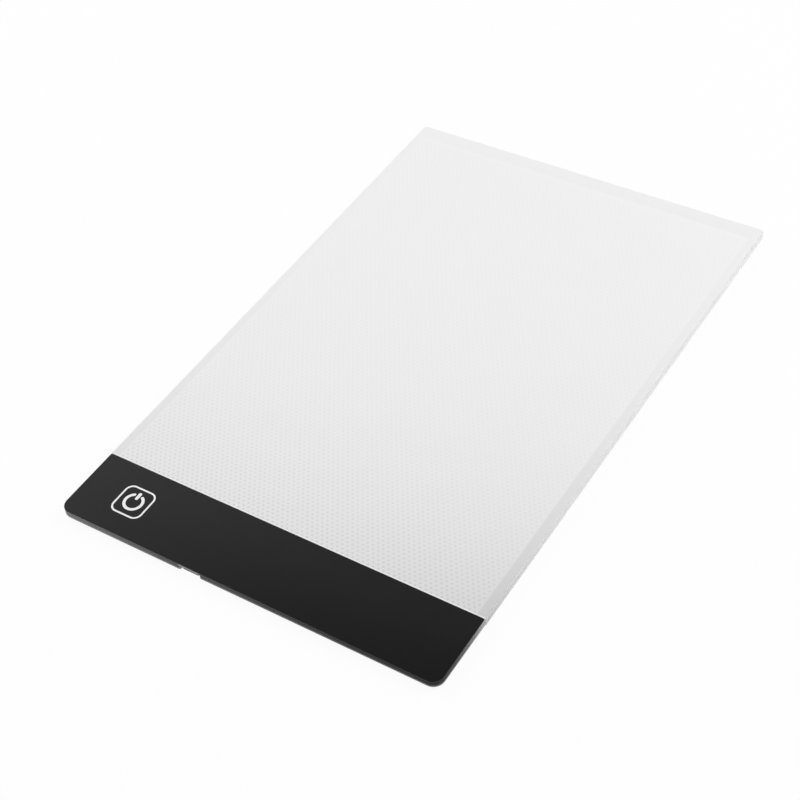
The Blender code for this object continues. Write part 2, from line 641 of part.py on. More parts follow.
def leaded_package(name, at, near_leads, far_leads, assembly, materials):
    """A small moulded package with gull-wing leads at the given places along its two long sides."""
    length, width = CHIP_LENGTH / 2, CHIP_WIDTH / 2
    form = bmesh.new()
    plan = box_outline(-length, length, -width, width)
    top = add_prism(form, plan, CHIP_STAND, CHIP_STAND + CHIP_HEIGHT)[1]
    centre = top.calc_center_median()
    for vert in top.verts:
        vert.co.x -= math.copysign(CHIP_DRAFT, vert.co.x - centre.x)
        vert.co.y -= math.copysign(CHIP_DRAFT, vert.co.y - centre.y)
    package = place(name, to_mesh(name, form), materials["moulding"], assembly, at)
    leads = bmesh.new()
    root, knee = width - CHIP_DRAFT, width + LEAD_KNEE
    toe = knee + LEAD_THICKNESS + LEAD_FOOT
    profile = [
        (root, LEAD_HEIGHT), (knee, LEAD_HEIGHT), (knee, 0), (toe, 0), (toe, LEAD_THICKNESS),
        (knee + LEAD_THICKNESS, LEAD_THICKNESS), (knee + LEAD_THICKNESS, LEAD_HEIGHT + LEAD_THICKNESS),
        (root, LEAD_HEIGHT + LEAD_THICKNESS),
    ]
    for side, places in ((-1, near_leads), (1, far_leads)):
        for x in places:
            turned = [(side * along, high) for along, high in profile]
            add_prism(leads, turned[::side], x - LEAD_WIDTH / 2, x + LEAD_WIDTH / 2, "X")
    joined = helper(name + "_leads", to_mesh(name + "_leads", leads))
    joined.location = at
    boolean(package, joined, "UNION")


def chip_component(name, length, width, height):
    """A two-ended chip part: a plain body between two slightly thicker end caps."""
    half, inner = length / 2, length / 2 - END_CAP_LENGTH
    low, high = END_CAP_STEP, height - END_CAP_STEP
    profile = [
        (-half, 0), (-inner, 0), (-inner, low), (inner, low), (inner, 0), (half, 0),
        (half, height), (inner, height), (inner, high), (-inner, high), (-inner, height), (-half, height),
    ]
    return prism(name, profile, -width / 2, width / 2, "Y")


def make_circuit(assembly, materials):
    """The touch chip, the transistor that switches the LEDs, and the passive parts."""
    low = BOARD_TOP + LAYER_GAP
    row = (-CHIP_ROW_PITCH, 0, CHIP_ROW_PITCH)
    leaded_package("touch_chip", (KEY_X + CHIP_FROM_KEY, KEY_Y, low), row, row, assembly, materials)
    leaded_package(
        "driver_transistor", (KEY_X + TRANSISTOR_FROM_KEY, KEY_Y, low),
        (-CHIP_ROW_PITCH, CHIP_ROW_PITCH), (0,), assembly, materials,
    )
    resistor = chip_component("resistor", RESISTOR_LENGTH, RESISTOR_WIDTH, RESISTOR_HEIGHT)
    for index in range(RESISTOR_COUNT):
        at = (KEY_X + CHIP_FROM_KEY + index * RESISTOR_PITCH, KEY_Y - RESISTOR_SETBACK, low)
        place(f"resistor_{index + 1}", resistor, materials["resistor"], assembly, at)
    capacitor = chip_component("capacitor", CAPACITOR_LENGTH, CAPACITOR_WIDTH, CAPACITOR_HEIGHT)
    for index in range(CAPACITOR_COUNT):
        at = (KEY_X + CAPACITOR_FROM_KEY, KEY_Y - index * CAPACITOR_PITCH, low)
        place(f"capacitor_{index + 1}", capacitor, materials["capacitor"], assembly, at)


def make_wires(assembly, materials):
    """Two insulated wires that lie on the boards and cross from one to the other with some slack."""
    start = BOARD_FAR - WIRE_START_OVERLAP
    end = LED_BOARD_REAR + WIRE_END_OVERLAP
    high = BOARD_TOP + LAYER_GAP + WIRE_DIAMETER / 2
    for index, colour in enumerate(("red", "black")):
        x = NOTCH_X + WIRE_FROM_NOTCH + index * WIRE_SPACING
        curve = bpy.data.curves.new(f"lead_{colour}", "CURVE")
        curve.dimensions = "3D"
        curve.bevel_depth = WIRE_DIAMETER / 2
        curve.bevel_resolution = WIRE_RESOLUTION
        curve.use_fill_caps = True
        spline = curve.splines.new("POLY")
        spline.points.add(WIRE_POINTS - 1)
        for step, point in enumerate(spline.points):
            share = step / (WIRE_POINTS - 1)
            sway = WIRE_SWAY * math.sin(math.pi * share) ** 2
            point.co = (x + sway, start + (end - start) * share, high, 1)
        wire = bpy.data.objects.new(f"lead_{colour}", curve)
        bpy.context.scene.collection.objects.link(wire)
        curve.materials.append(materials[f"wire_{colour}"])
        wire.parent = assembly


def make_feet(assembly, materials):
    """Four thin anti-slip pads, which share one mesh."""
    mesh = rimmed_plate("foot", circle_outline(0, 0, FOOT_RADIUS), 0, FOOT_HEIGHT, FOOT_EDGE_RADIUS, "bottom")
    rows = (("front", FRONT + FOOT_FRONT_INSET), ("far", FAR - FOOT_FAR_INSET))
    for row, y in rows:
        for side, x in (("left", LEFT + FOOT_SIDE_INSET), ("right", RIGHT - FOOT_SIDE_INSET)):
            place(f"foot_{row}_{side}", mesh, materials["rubber"], assembly, (x, y, 0))


def make_materials():
    """One finish for each kind of stuff that the pad is made of."""
    return {
        "acrylic": finish_material("frosted_acrylic", (0.80, 0.80, 0.80), 0.35),
        "overlay": finish_material("black_film", (0.022, 0.022, 0.022), 0.42),
        "tape_clear": finish_material("clear_adhesive", (0.72, 0.73, 0.72), 0.50),
        "guide": finish_material("light_guide_acrylic", (0.83, 0.84, 0.84), 0.10),
        "film": finish_material("white_film", (0.88, 0.88, 0.88), 0.45),
        "tape_white": finish_material("white_tape", (0.82, 0.82, 0.82), 0.55),
        "back": finish_material("white_sheet", (0.80, 0.80, 0.79), 0.50),
        "housing": finish_material("black_plastic", (0.030, 0.030, 0.031), 0.45),
        "board": finish_material("green_board", (0.02, 0.16, 0.07), 0.40),
        "board_white": finish_material("white_board", (0.78, 0.78, 0.76), 0.40),
        "led": finish_material("led_package", (0.85, 0.80, 0.45), 0.40),
        "steel": finish_material("bright_steel", (0.62, 0.62, 0.62), 0.28, 1.0),
        "insulator": finish_material("inlet_plastic", (0.03, 0.03, 0.03), 0.50),
        "gold": finish_material("gold_plating", (0.83, 0.62, 0.25), 0.25, 1.0),
        "copper": finish_material("copper_foil", (0.72, 0.38, 0.22), 0.35, 1.0),
        "foam": finish_material("conductive_foam", (0.10, 0.10, 0.11), 0.90),
        "moulding": finish_material("chip_moulding", (0.03, 0.03, 0.03), 0.55),
        "resistor": finish_material("resistor_body", (0.04, 0.04, 0.05), 0.45),
        "capacitor": finish_material("capacitor_body", (0.42, 0.30, 0.20), 0.50),
        "wire_red": finish_material("red_insulation", (0.55, 0.03, 0.03), 0.45),
        "wire_black": finish_material("black_insulation", (0.02, 0.02, 0.02), 0.45),
        "rubber": finish_material("grey_rubber", (0.20, 0.20, 0.20), 0.85),
    }


def main():
    clear_scene()
    assembly = bpy.data.objects.new("tracing_pad", None)
    bpy.context.scene.collection.objects.link(assembly)
    materials = make_materials()
    for make in (
        make_panel, make_overlay, make_adhesive, make_light_guide, make_reflector, make_edge_tape,
        make_back_cover, make_mask_tape, make_base, make_control_board, make_led_board, make_leds,
        make_inlet, make_touch_key, make_circuit, make_wires, make_feet,
    ):
        make(assembly, materials)


main()
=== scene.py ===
"""Looks of the edge-lit tracing pad: finishes of its pieces, the printed key, the dots and the studio.

All sizes are in metres, in the frame of the pad: X across the short side, Y from the control strip to
the far end, Z up, with the origin on the table under the middle of the pad.
"""

import math
from typing import NamedTuple

import bmesh
import bpy
from bpy.props import FloatProperty, FloatVectorProperty, IntProperty, PointerProperty
from mathutils import Matrix, Vector


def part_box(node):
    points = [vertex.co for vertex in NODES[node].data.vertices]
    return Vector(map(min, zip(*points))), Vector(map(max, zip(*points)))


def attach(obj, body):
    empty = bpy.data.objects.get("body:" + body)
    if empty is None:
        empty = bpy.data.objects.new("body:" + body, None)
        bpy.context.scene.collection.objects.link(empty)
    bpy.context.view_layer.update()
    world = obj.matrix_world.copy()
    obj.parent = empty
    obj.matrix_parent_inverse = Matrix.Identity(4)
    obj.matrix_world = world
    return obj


bl_info = {
    "name": "Tracing pad looks",
    "version": (1, 0, 0),
    "blender": (4, 5, 0),
    "location": "3D View > Sidebar > Tracing Pad",
    "description": "Finishes, printed key, dot lattice and studio of an edge-lit tracing pad",
    "category": "Object",
}

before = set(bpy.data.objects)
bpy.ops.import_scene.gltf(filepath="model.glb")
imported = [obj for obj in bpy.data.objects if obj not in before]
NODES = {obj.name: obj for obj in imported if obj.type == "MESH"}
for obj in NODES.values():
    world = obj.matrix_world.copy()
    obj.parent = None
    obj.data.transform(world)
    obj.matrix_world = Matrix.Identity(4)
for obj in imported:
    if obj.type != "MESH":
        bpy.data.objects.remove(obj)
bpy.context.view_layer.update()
BODY = "root"

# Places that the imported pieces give
PANEL_LOW, PANEL_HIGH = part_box("drawing_panel")
FILM_LOW, FILM_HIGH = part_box("control_overlay")
TRAY_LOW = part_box("strip_base")[0]
COVER_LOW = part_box("back_cover")[0]
KEY_LOW, KEY_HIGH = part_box("touch_electrode")
LED_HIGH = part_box("led_01")[1]
INLET_LOW, INLET_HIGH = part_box("usb_shell")
KEY_CENTRE = (KEY_LOW + KEY_HIGH) / 2
INLET_CENTRE = (INLET_LOW + INLET_HIGH) / 2
STRIP_FAR = FILM_HIGH.y
LIT_FRONT = COVER_LOW.y


class PadSizes(bpy.types.PropertyGroup):
    """Sizes of what is printed on the pad."""

    dot_pitch: FloatProperty(
        name="Dot pitch", description="Distance between dots in a row",
        default=0.00199, min=0.0005, unit="LENGTH",
    )
    dot_row_step: FloatProperty(
        name="Row step", description="Distance between rows, each half a pitch along from the last",
        default=0.00151, min=0.0005, unit="LENGTH",
    )
    dot_diameter: FloatProperty(
        name="Dot diameter", description="Width of one dot", default=0.00109, min=0.0001, unit="LENGTH",
    )
    dot_height: FloatProperty(
        name="Dot height", description="Height of one dot's crown", default=0.000008, unit="LENGTH",
    )
    dot_sink: FloatProperty(
        name="Dot sink", description="How far a dot's rim lies in the face", default=0.000002, unit="LENGTH",
    )
    dot_sides: IntProperty(name="Dot sides", description="Facets round one dot", default=8, min=6, max=16)
    side_margin: FloatProperty(
        name="Side margin", description="Plain band along the left and right edges",
        default=0.0032, unit="LENGTH",
    )
    far_margin: FloatProperty(
        name="Far margin", description="Plain band along the far edge", default=0.0065, unit="LENGTH",
    )
    front_margin: FloatProperty(
        name="Front margin", description="From the control strip to the first row", default=0.0009,
        unit="LENGTH",
    )
    key_side: FloatProperty(
        name="Key side", description="Outer width of the key's square border", default=0.0125, unit="LENGTH",
    )
    key_line: FloatProperty(
        name="Key line", description="Width of the border's line", default=0.00066, unit="LENGTH",
    )
    key_radius: FloatProperty(
        name="Key radius", description="Outer corner radius of the border", default=0.0030, unit="LENGTH",
    )
    power_diameter: FloatProperty(
        name="Power diameter", description="Outer diameter of the power mark", default=0.0076, unit="LENGTH",
    )
    power_stroke: FloatProperty(
        name="Power stroke", description="Width of the power mark's ring", default=0.00108, unit="LENGTH",
    )
    power_opening: FloatProperty(
        name="Power opening", description="Half of the angle that the ring leaves open",
        default=math.radians(31), unit="ROTATION",
    )
    bar_width: FloatProperty(
        name="Bar width", description="Width of the power mark's bar", default=0.0012, unit="LENGTH",
    )
    bar_start: FloatProperty(
        name="Bar start", description="Near end of the bar, from the key's centre",
        default=0.0011, unit="LENGTH",
    )
    bar_end: FloatProperty(
        name="Bar end", description="Far end of the bar, from the key's centre",
        default=0.0044, unit="LENGTH",
    )
    ink_thickness: FloatProperty(
        name="Ink thickness", description="Height of the screen print", default=0.00002, unit="LENGTH",
    )


def colour_property(name, description, level):
    """A colour that the user can change. Level is one grey, or red, green and blue."""
    values = level if isinstance(level, tuple) else (level, level, level)
    return FloatVectorProperty(
        name=name, description=description, subtype="COLOR", size=3, min=0, max=1, default=values
    )


class PadFinishes(bpy.types.PropertyGroup):
    """Colours of the surfaces that show, and of the light and shade painted on some of them."""

    field: colour_property("Field", "Lit face between the margins", 0.912)
    # Painted shade: the face's colour in full shade, which it nears next to the strip at the right.
    shaded: colour_property("Shaded", "Lit face next to the control strip, where it is darkest", 0.67)
    # Painted glow: a pale line on the face along the film's far edge.
    painted_seam_glow: colour_property("Seam glow", "Light that leaks along the far edge of the film", 0.97)
    pale_edge: colour_property("Pale edge", "Wall of the lit part", 0.90)
    # Painted light and shade: the strip's wall goes from the first colour at the left to the second at the
    # right.
    painted_light_edge: colour_property("Grey edge", "Wall of the strip at its left end", 0.24)
    painted_shade_edge: colour_property("Dark edge", "Wall of the strip at its right end", 0.008)
    # Painted light: the table's light, on the panel's edge over the inlet and on the tray's foot.
    painted_table_light: colour_property("Clear edge", "Panel's edge over the inlet, and foot of the tray", 0.55)
    film: colour_property("Film", "Control strip", 0.0045)
    ink: colour_property("Ink", "Printed key", 0.93)
    tray: colour_property("Tray", "Moulded tray under the strip", 0.018)
    sheet: colour_property("Sheet", "Back of the lit part", (0.88, 0.88, 0.87))
    rubber: colour_property("Rubber", "Anti-slip feet", 0.20)
    margin_contrast: FloatProperty(
        name="Margin contrast", description="How much darker the plain margins are than the field, at most",
        default=0.12, min=0, max=1, subtype="FACTOR",
    )
    dot_contrast: FloatProperty(
        name="Dot contrast", description="How much darker than far off a dot is at the strip",
        default=0.125, min=0, max=1, subtype="FACTOR",
    )
    far_dot_contrast: FloatProperty(
        name="Far dot contrast", description="How much darker than the face a dot is far from the strip",
        default=0.03, min=0, max=1, subtype="FACTOR",
    )


class PadStudio(bpy.types.PropertyGroup):
    """Camera and light."""

    lens: FloatProperty(name="Lens", description="Focal length in millimetres", default=78.23)
    distance: FloatProperty(
        name="Distance", description="From the camera to the point it aims at", default=0.6071, unit="LENGTH",
    )
    azimuth: FloatProperty(
        name="Azimuth", description="Turn of the camera round the pad", default=math.radians(37.56),
        unit="ROTATION",
    )
    elevation: FloatProperty(
        name="Elevation", description="Height of the camera as an angle", default=math.radians(45.23),
        unit="ROTATION",
    )
    roll: FloatProperty(
        name="Roll", description="Tilt of the camera about its own axis", default=math.radians(-7.27),
        unit="ROTATION",
    )
    aim: FloatVectorProperty(
        name="Aim", description="Point on the drawing face that the camera looks at",
        default=(0.0005, -0.0212, 0.0038), subtype="TRANSLATION",
    )
    far_left_power: FloatProperty(
        name="Far left power", description="Softbox that the film mirrors, in watts", default=1.15,
    )
    left_power: FloatProperty(
        name="Left power", description="Softbox at the left, in watts", default=4.5,
    )
    far_right_power: FloatProperty(
        name="Far right power", description="Softbox at the far right, in watts", default=5.9,
    )
    front_right_power: FloatProperty(
        name="Front right power", description="Softbox at the front right, in watts", default=1.2,
    )
    top_power: FloatProperty(
        name="Top power", description="Softbox above, in watts", default=1.6,
    )
    ambient: FloatProperty(
        name="Ambient", description="Strength of the studio's walls and ceiling", default=0.25,
    )
    floor_lift: FloatProperty(
        name="Floor lift", description="Share of the floor's white that no shadow darkens", default=0.93,
    )


class PadSettings(bpy.types.PropertyGroup):
    """Everything that the pad's looks can be changed by."""

    sizes: PointerProperty(type=PadSizes)
    finishes: PointerProperty(type=PadFinishes)
    studio: PointerProperty(type=PadStudio)


# Shader building

BLACK = (0.0, 0.0, 0.0)
NO_STRETCH = (1, 1, 1)
RAMP_SOCKETS = ("Value", "From Min", "From Max", "To Min", "To Max")
GRAIN_LOW = 0.3
GRAIN_HIGH = 0.7
FINE_DETAIL = 2.0
SOFT_DETAIL = 3.0
DRIFT_TO_GRAIN = 40
GLOSS_SPREAD = 0.04


def new_finish(name):
    """A material with its Principled shader, and the nodes that give a point's place on the piece."""
    finish = bpy.data.materials.new(name)
    finish.use_nodes = True
    tree = finish.node_tree
    shader = tree.nodes["Principled BSDF"]
    place = tree.nodes.new("ShaderNodeTexCoord")
    return finish, tree, shader, place.outputs["Object"]


def wire(tree, source, target):
    """Feeds a socket from another socket, or sets it to a plain value."""
    if isinstance(source, bpy.types.NodeSocket):
        tree.links.new(source, target)
    else:
        target.default_value = source


def calculate(tree, operation, first, second=0.0, clamp=False):
    """One sum on numbers in a material or a geometry tree."""
    node = tree.nodes.new("ShaderNodeMath")
    node.operation = operation
    node.use_clamp = clamp
    wire(tree, first, node.inputs[0])
    wire(tree, second, node.inputs[1])
    return node.outputs[0]


def ramp(tree, value, low, high, start=0.0, end=1.0):
    """A number that goes smoothly from start to end while value goes from low to high."""
    node = tree.nodes.new("ShaderNodeMapRange")
    node.interpolation_type = "SMOOTHSTEP"
    for socket, number in zip(RAMP_SOCKETS, (value, low, high, start, end)):
        wire(tree, number, node.inputs[socket])
    return node.outputs["Result"]


def blend(tree, share, first, second):
    """A colour between two colours."""
    node = tree.nodes.new("ShaderNodeMix")
    node.data_type = "RGBA"
    wire(tree, share, node.inputs["Factor"])
    wire(tree, opaque(first), node.inputs["A"])
    wire(tree, opaque(second), node.inputs["B"])
    return node.outputs["Result"]


def opaque(colour):
    """A colour as a shader takes it. A socket stays as it is."""
    if isinstance(colour, bpy.types.NodeSocket):
        return colour
    return (*tuple(colour)[:3], 1.0)


def scaled(colour, factor):
    """A colour made paler or darker."""
    return tuple(min(channel * factor, 1.0) for channel in colour)


def split(tree, vector):
    """The three numbers of a vector."""
    node = tree.nodes.new("ShaderNodeSeparateXYZ")
    tree.links.new(vector, node.inputs[0])
    return node.outputs


def grain(tree, place, size, detail=FINE_DETAIL, stretch=NO_STRETCH):
    """Noise whose grains have the given size, drawn out along an axis where stretch is below 1."""
    mapping = tree.nodes.new("ShaderNodeMapping")
    mapping.inputs["Scale"].default_value = stretch
    tree.links.new(place, mapping.inputs["Vector"])
    noise = tree.nodes.new("ShaderNodeTexNoise")
    noise.inputs["Scale"].default_value = 1 / size
    noise.inputs["Detail"].default_value = detail
    tree.links.new(mapping.outputs["Vector"], noise.inputs["Vector"])
    return noise.outputs["Fac"]


def drifting(tree, noise, start, end):
    """A number that wanders from start to end with the noise."""
    return ramp(tree, noise, GRAIN_LOW, GRAIN_HIGH, start, end)


def darkened(tree, share, colour):
    """A colour, darker by the share."""
    return blend(tree, share, colour, BLACK)


def faded(tree, distance, reach):
    """A share that falls from 1 with the distance, to about a third at each further reach."""
    back = calculate(tree, "DIVIDE", calculate(tree, "MULTIPLY", distance, -1.0), reach)
    return calculate(tree, "EXPONENT", back)


def emboss(tree, shader, height, depth):
    """Surface relief of the given depth."""
    bump = tree.nodes.new("ShaderNodeBump")
    bump.inputs["Distance"].default_value = depth
    tree.links.new(height, bump.inputs["Height"])
    tree.links.new(bump.outputs["Normal"], shader.inputs["Normal"])


class Grained(NamedTuple):
    """A plain finish. Size and depth are those of its grain, and spread is the drift of its colour."""

    name: str
    colour: tuple
    roughness: float
    size: float
    depth: float
    metallic: float = 0.0
    spread: float = 0.06
    stretch: tuple = NO_STRETCH


def grained_finish(given):
    """A finish with a fine relief, and a slow drift in its colour and its gloss."""
    finish, tree, shader, place = new_finish(given.name)
    drift = grain(tree, place, given.size * DRIFT_TO_GRAIN, SOFT_DETAIL, given.stretch)
    fine = grain(tree, place, given.size, FINE_DETAIL, given.stretch)
    pale, dark = scaled(given.colour, 1 + given.spread), scaled(given.colour, 1 - given.spread)
    wire(tree, blend(tree, drift, dark, pale), shader.inputs["Base Color"])
    rough = drifting(tree, fine, given.roughness - GLOSS_SPREAD, given.roughness + GLOSS_SPREAD)
    wire(tree, rough, shader.inputs["Roughness"])
    shader.inputs["Metallic"].default_value = given.metallic
    emboss(tree, shader, fine, given.depth)
    return finish


def dress(finish, *names):
    """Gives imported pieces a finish."""
    for name in names:
        slots = NODES[name].material_slots
        if not slots:
            raise RuntimeError(f"{name} has no material slot")
        for slot in slots:
            slot.material = finish


def names_that_start(text):
    """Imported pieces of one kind, in order."""
    return sorted(name for name in NODES if name.startswith(text))


# Panel, film and tray

PANEL_WIDTH = PANEL_HIGH.x - PANEL_LOW.x
MARGIN_REACH = 0.15
MARGIN_NEAR_TO_FAR = (1.0, 0.25)
MARGIN_LEFT_TO_RIGHT = (0.45, 1.0)
CLOUD_SIZE = 0.03
CLOUD_SHADE = 0.015
SHADE_REACH = 0.040
LEFT_SHADE = 0.28
RIGHT_SHADE = 0.50
RIGHT_SHADE_POWER = 2.2
DOT_FADE_REACH = 0.030
FACE_SKIN = 0.00012
SOFT_BORDER = 0.0004
GLOW_WIDTH = 0.00030
GLOW_SHARE = 0.7
BEVEL_DROP = 0.0002
BEVEL_START = 1.2
BEVEL_SHADE = 0.12
PANEL_WALL_SHADE = (0.24, 0.016)
TAPE_SHADE = (0.34, 0.035)
PIPED_REACH = 0.0085
PIPED_SHARE = 0.55
GREY_POWER = 1.9
INLET_BLUR = 0.0010
PAINTED_LIGHT_TOP_SHARE = 0.15
WALL_START = 0.0001
FOOT_REACH = 0.0016
FOOT_SHARE = 0.9
ACRYLIC_INDEX = 1.49
SATIN_SPECULAR = 0.12
FROST_SIZE = 0.00016
FROST_DEPTH = 0.000004
PANEL_GLOSS = (0.40, 0.50)
DOT_GLOSS = (0.42, 0.52)
FILM_CLOUD_SIZE = 0.018
FILM_GRAIN_SIZE = 0.00022
FILM_GRAIN_DEPTH = 0.000004
FILM_GLOSS = (0.32, 0.36)
FILM_GLOSS_DRIFT = 0.02
FILM_SPECULAR = 0.30
FILM_PAINTED_SHADE_TO_SHEEN = (0.2, 1.8)
FILM_DRIFT = (0.35, 0.65, 0.0, 0.12)
PIT_SIZE = 0.00018
TRAY_GRAIN_SIZE = 0.00009
TRAY_CLOUD_SIZE = 0.012
TRAY_SPREAD = 0.15
TRAY_GLOSS = (0.46, 0.56)
TRAY_GRAIN_DEPTH = 0.000003
TAPE_GRAIN_SIZE = 0.0003
TAPE_DRIFT = 0.03
TAPE_GLOSS = (0.50, 0.60)
TAPE_GRAIN_DEPTH = 0.000004


def from_strip(tree, y):
    """Distance from the control strip, along the lit part."""
    return calculate(tree, "SUBTRACT", y, LIT_FRONT)


def margin_strength(tree, x, y):
    """A share that is 1 at the strip's right end, where the margins show most, and little far from it. The
    margins' darker tone is their own; its growth towards that end is painted shade.
    """
    near = ramp(tree, y, LIT_FRONT, LIT_FRONT + MARGIN_REACH, *MARGIN_NEAR_TO_FAR)
    to_right = ramp(tree, x, PANEL_LOW.x, PANEL_HIGH.x, *MARGIN_LEFT_TO_RIGHT)
    return calculate(tree, "MULTIPLY", near, to_right)


def face_colour(tree, place, colours):
    """Colour of the lit face: even at the far end, with painted shade that darkens it towards the control
    strip and towards the right.
    """
    x, y = split(tree, place)[:2]
    cloud = grain(tree, place, CLOUD_SIZE)
    # Painted shade: darkest next to the strip, fading away from it, and stronger towards the right.
    near = faded(tree, from_strip(tree, y), SHADE_REACH)
    to_right = calculate(tree, "SUBTRACT", x, PANEL_LOW.x)
    to_right = calculate(tree, "DIVIDE", to_right, PANEL_WIDTH, clamp=True)
    to_right = calculate(tree, "POWER", to_right, RIGHT_SHADE_POWER)
    shade = calculate(tree, "MULTIPLY", to_right, RIGHT_SHADE)
    shade = calculate(tree, "MULTIPLY", near, calculate(tree, "ADD", shade, LEFT_SHADE))
    shade = calculate(tree, "ADD", shade, drifting(tree, cloud, 0.0, CLOUD_SHADE))
    return blend(tree, shade, colours.field, colours.shaded)


def lit_wall_colour(tree, place, colours, share, reach):
    """Colour of the wall round the lit part, with painted shade: darker by the share at the strip, fading
    over the reach.
    """
    near = faded(tree, from_strip(tree, split(tree, place)[1]), reach)
    return darkened(tree, calculate(tree, "MULTIPLY", near, share, clamp=True), colours.pale_edge)


def edge_colour(tree, place, colours):
    """Colour of the strip's wall, with painted light and shade: grey at the left, darker to the right, pale
    over the inlet, and pale next to the lit part.
    """
    x, y, z = split(tree, place)
    # Painted light and shade: the wall is paler at the left and darker to the right.
    across = calculate(tree, "SUBTRACT", PANEL_HIGH.x, x)
    across = calculate(tree, "DIVIDE", across, PANEL_WIDTH, clamp=True)
    across = calculate(tree, "POWER", across, GREY_POWER)
    wall = blend(tree, across, colours.painted_shade_edge, colours.painted_light_edge)

    # Painted light: the panel's edge over the inlet is paler, as if the table showed through it, most at its
    # foot.
    inlet_half = INLET_HIGH.x - INLET_CENTRE.x
    from_inlet = calculate(tree, "ABSOLUTE", calculate(tree, "SUBTRACT", x, INLET_CENTRE.x))
    over_inlet = ramp(tree, from_inlet, inlet_half - INLET_BLUR, inlet_half, 1.0, 0.0)
    clear = ramp(tree, z, PANEL_LOW.z, PANEL_HIGH.z, 1.0, PAINTED_LIGHT_TOP_SHARE)
    over_inlet = calculate(tree, "MULTIPLY", over_inlet, clear)
    in_panel = calculate(tree, "GREATER_THAN", z, PANEL_LOW.z - BEVEL_DROP)
    over_inlet = calculate(tree, "MULTIPLY", over_inlet, in_panel)
    wall = blend(tree, over_inlet, wall, colours.painted_table_light)

    # Painted light: the wall is pale next to the lit part, as if light were piped along the panel.
    painted_piped_light = faded(tree, calculate(tree, "SUBTRACT", STRIP_FAR, y), PIPED_REACH)
    painted_piped_light = calculate(tree, "MULTIPLY", painted_piped_light, PIPED_SHARE)
    return blend(tree, painted_piped_light, wall, colours.pale_edge)


def in_margin(tree, distance, width):
    """A share that is 1 within the width of an edge, with a soft border."""
    return ramp(tree, distance, width - SOFT_BORDER, width + SOFT_BORDER, 1.0, 0.0)


def acrylic_finish(sizes, colours):
    """Frosted panel: lit field with painted shade, plain margins, a painted glow along the film's edge, and
    an edge with painted shade round the lit part and painted light piped into the strip.
    """
    finish, tree, shader, place = new_finish("frosted_acrylic")
    x, y, z = split(tree, place)
    from_side = calculate(tree, "SUBTRACT", PANEL_HIGH.x, calculate(tree, "ABSOLUTE", x))
    from_far = calculate(tree, "SUBTRACT", PANEL_HIGH.y, y)
    beside = in_margin(tree, from_side, sizes.side_margin)
    beyond = in_margin(tree, from_far, sizes.far_margin)
    outside = calculate(tree, "MAXIMUM", beside, beyond)
    # Partly painted shade: the margins' own darker tone grows towards the strip's right end.
    strength = calculate(tree, "MULTIPLY", margin_strength(tree, x, y), colours.margin_contrast)
    face = face_colour(tree, place, colours)
    face = darkened(tree, calculate(tree, "MULTIPLY", outside, strength), face)
    # Painted glow: a pale line on the face along the film's far edge.
    glow = ramp(tree, y, LIT_FRONT + GLOW_WIDTH, LIT_FRONT + 2 * GLOW_WIDTH, GLOW_SHARE, 0.0)
    face = blend(tree, glow, face, colours.painted_seam_glow)

    lit_wall = lit_wall_colour(tree, place, colours, *PANEL_WALL_SHADE)
    # Painted shade: the bevel at the top of the wall is darker, to damp its highlight.
    bevel_low, bevel_high = PANEL_HIGH.z - BEVEL_START * BEVEL_DROP, PANEL_HIGH.z - BEVEL_DROP
    lit_wall = darkened(tree, ramp(tree, z, bevel_low, bevel_high, 0.0, BEVEL_SHADE), lit_wall)
    in_strip = calculate(tree, "LESS_THAN", y, LIT_FRONT)
    edge = blend(tree, in_strip, lit_wall, edge_colour(tree, place, colours))
    on_wall = ramp(tree, z, PANEL_HIGH.z - FACE_SKIN, PANEL_HIGH.z, 1.0, 0.0)
    wire(tree, blend(tree, on_wall, face, edge), shader.inputs["Base Color"])

    frost = grain(tree, place, FROST_SIZE)
    wire(tree, drifting(tree, frost, *PANEL_GLOSS), shader.inputs["Roughness"])
    on_face = calculate(tree, "SUBTRACT", 1.0, on_wall)
    emboss(tree, shader, calculate(tree, "MULTIPLY", frost, on_face), FROST_DEPTH)
    shader.inputs["Specular IOR Level"].default_value = SATIN_SPECULAR
    shader.inputs["IOR"].default_value = ACRYLIC_INDEX
    return finish


def film_finish(colours):
    """Satin black film with a fine hard-coat grain and a few faint clouds, with painted shade at the front
    and a painted sheen by the lit part.
    """
    finish, tree, shader, place = new_finish("satin_black_film")
    # Painted shade and sheen: darker at the front and paler by the lit part.
    to_lit = ramp(tree, split(tree, place)[1], FILM_LOW.y, FILM_HIGH.y)
    front, lit = (scaled(colours.film, factor) for factor in FILM_PAINTED_SHADE_TO_SHEEN)
    cloud = grain(tree, place, FILM_CLOUD_SIZE, SOFT_DETAIL)
    colour = darkened(tree, ramp(tree, cloud, *FILM_DRIFT), blend(tree, to_lit, front, lit))
    wire(tree, colour, shader.inputs["Base Color"])
    fine = grain(tree, place, FILM_GRAIN_SIZE)
    rough = drifting(tree, fine, *FILM_GLOSS)
    rough = calculate(tree, "ADD", rough, drifting(tree, cloud, 0.0, FILM_GLOSS_DRIFT))
    wire(tree, rough, shader.inputs["Roughness"])
    shader.inputs["Specular IOR Level"].default_value = FILM_SPECULAR
    emboss(tree, shader, fine, FILM_GRAIN_DEPTH)
    return finish


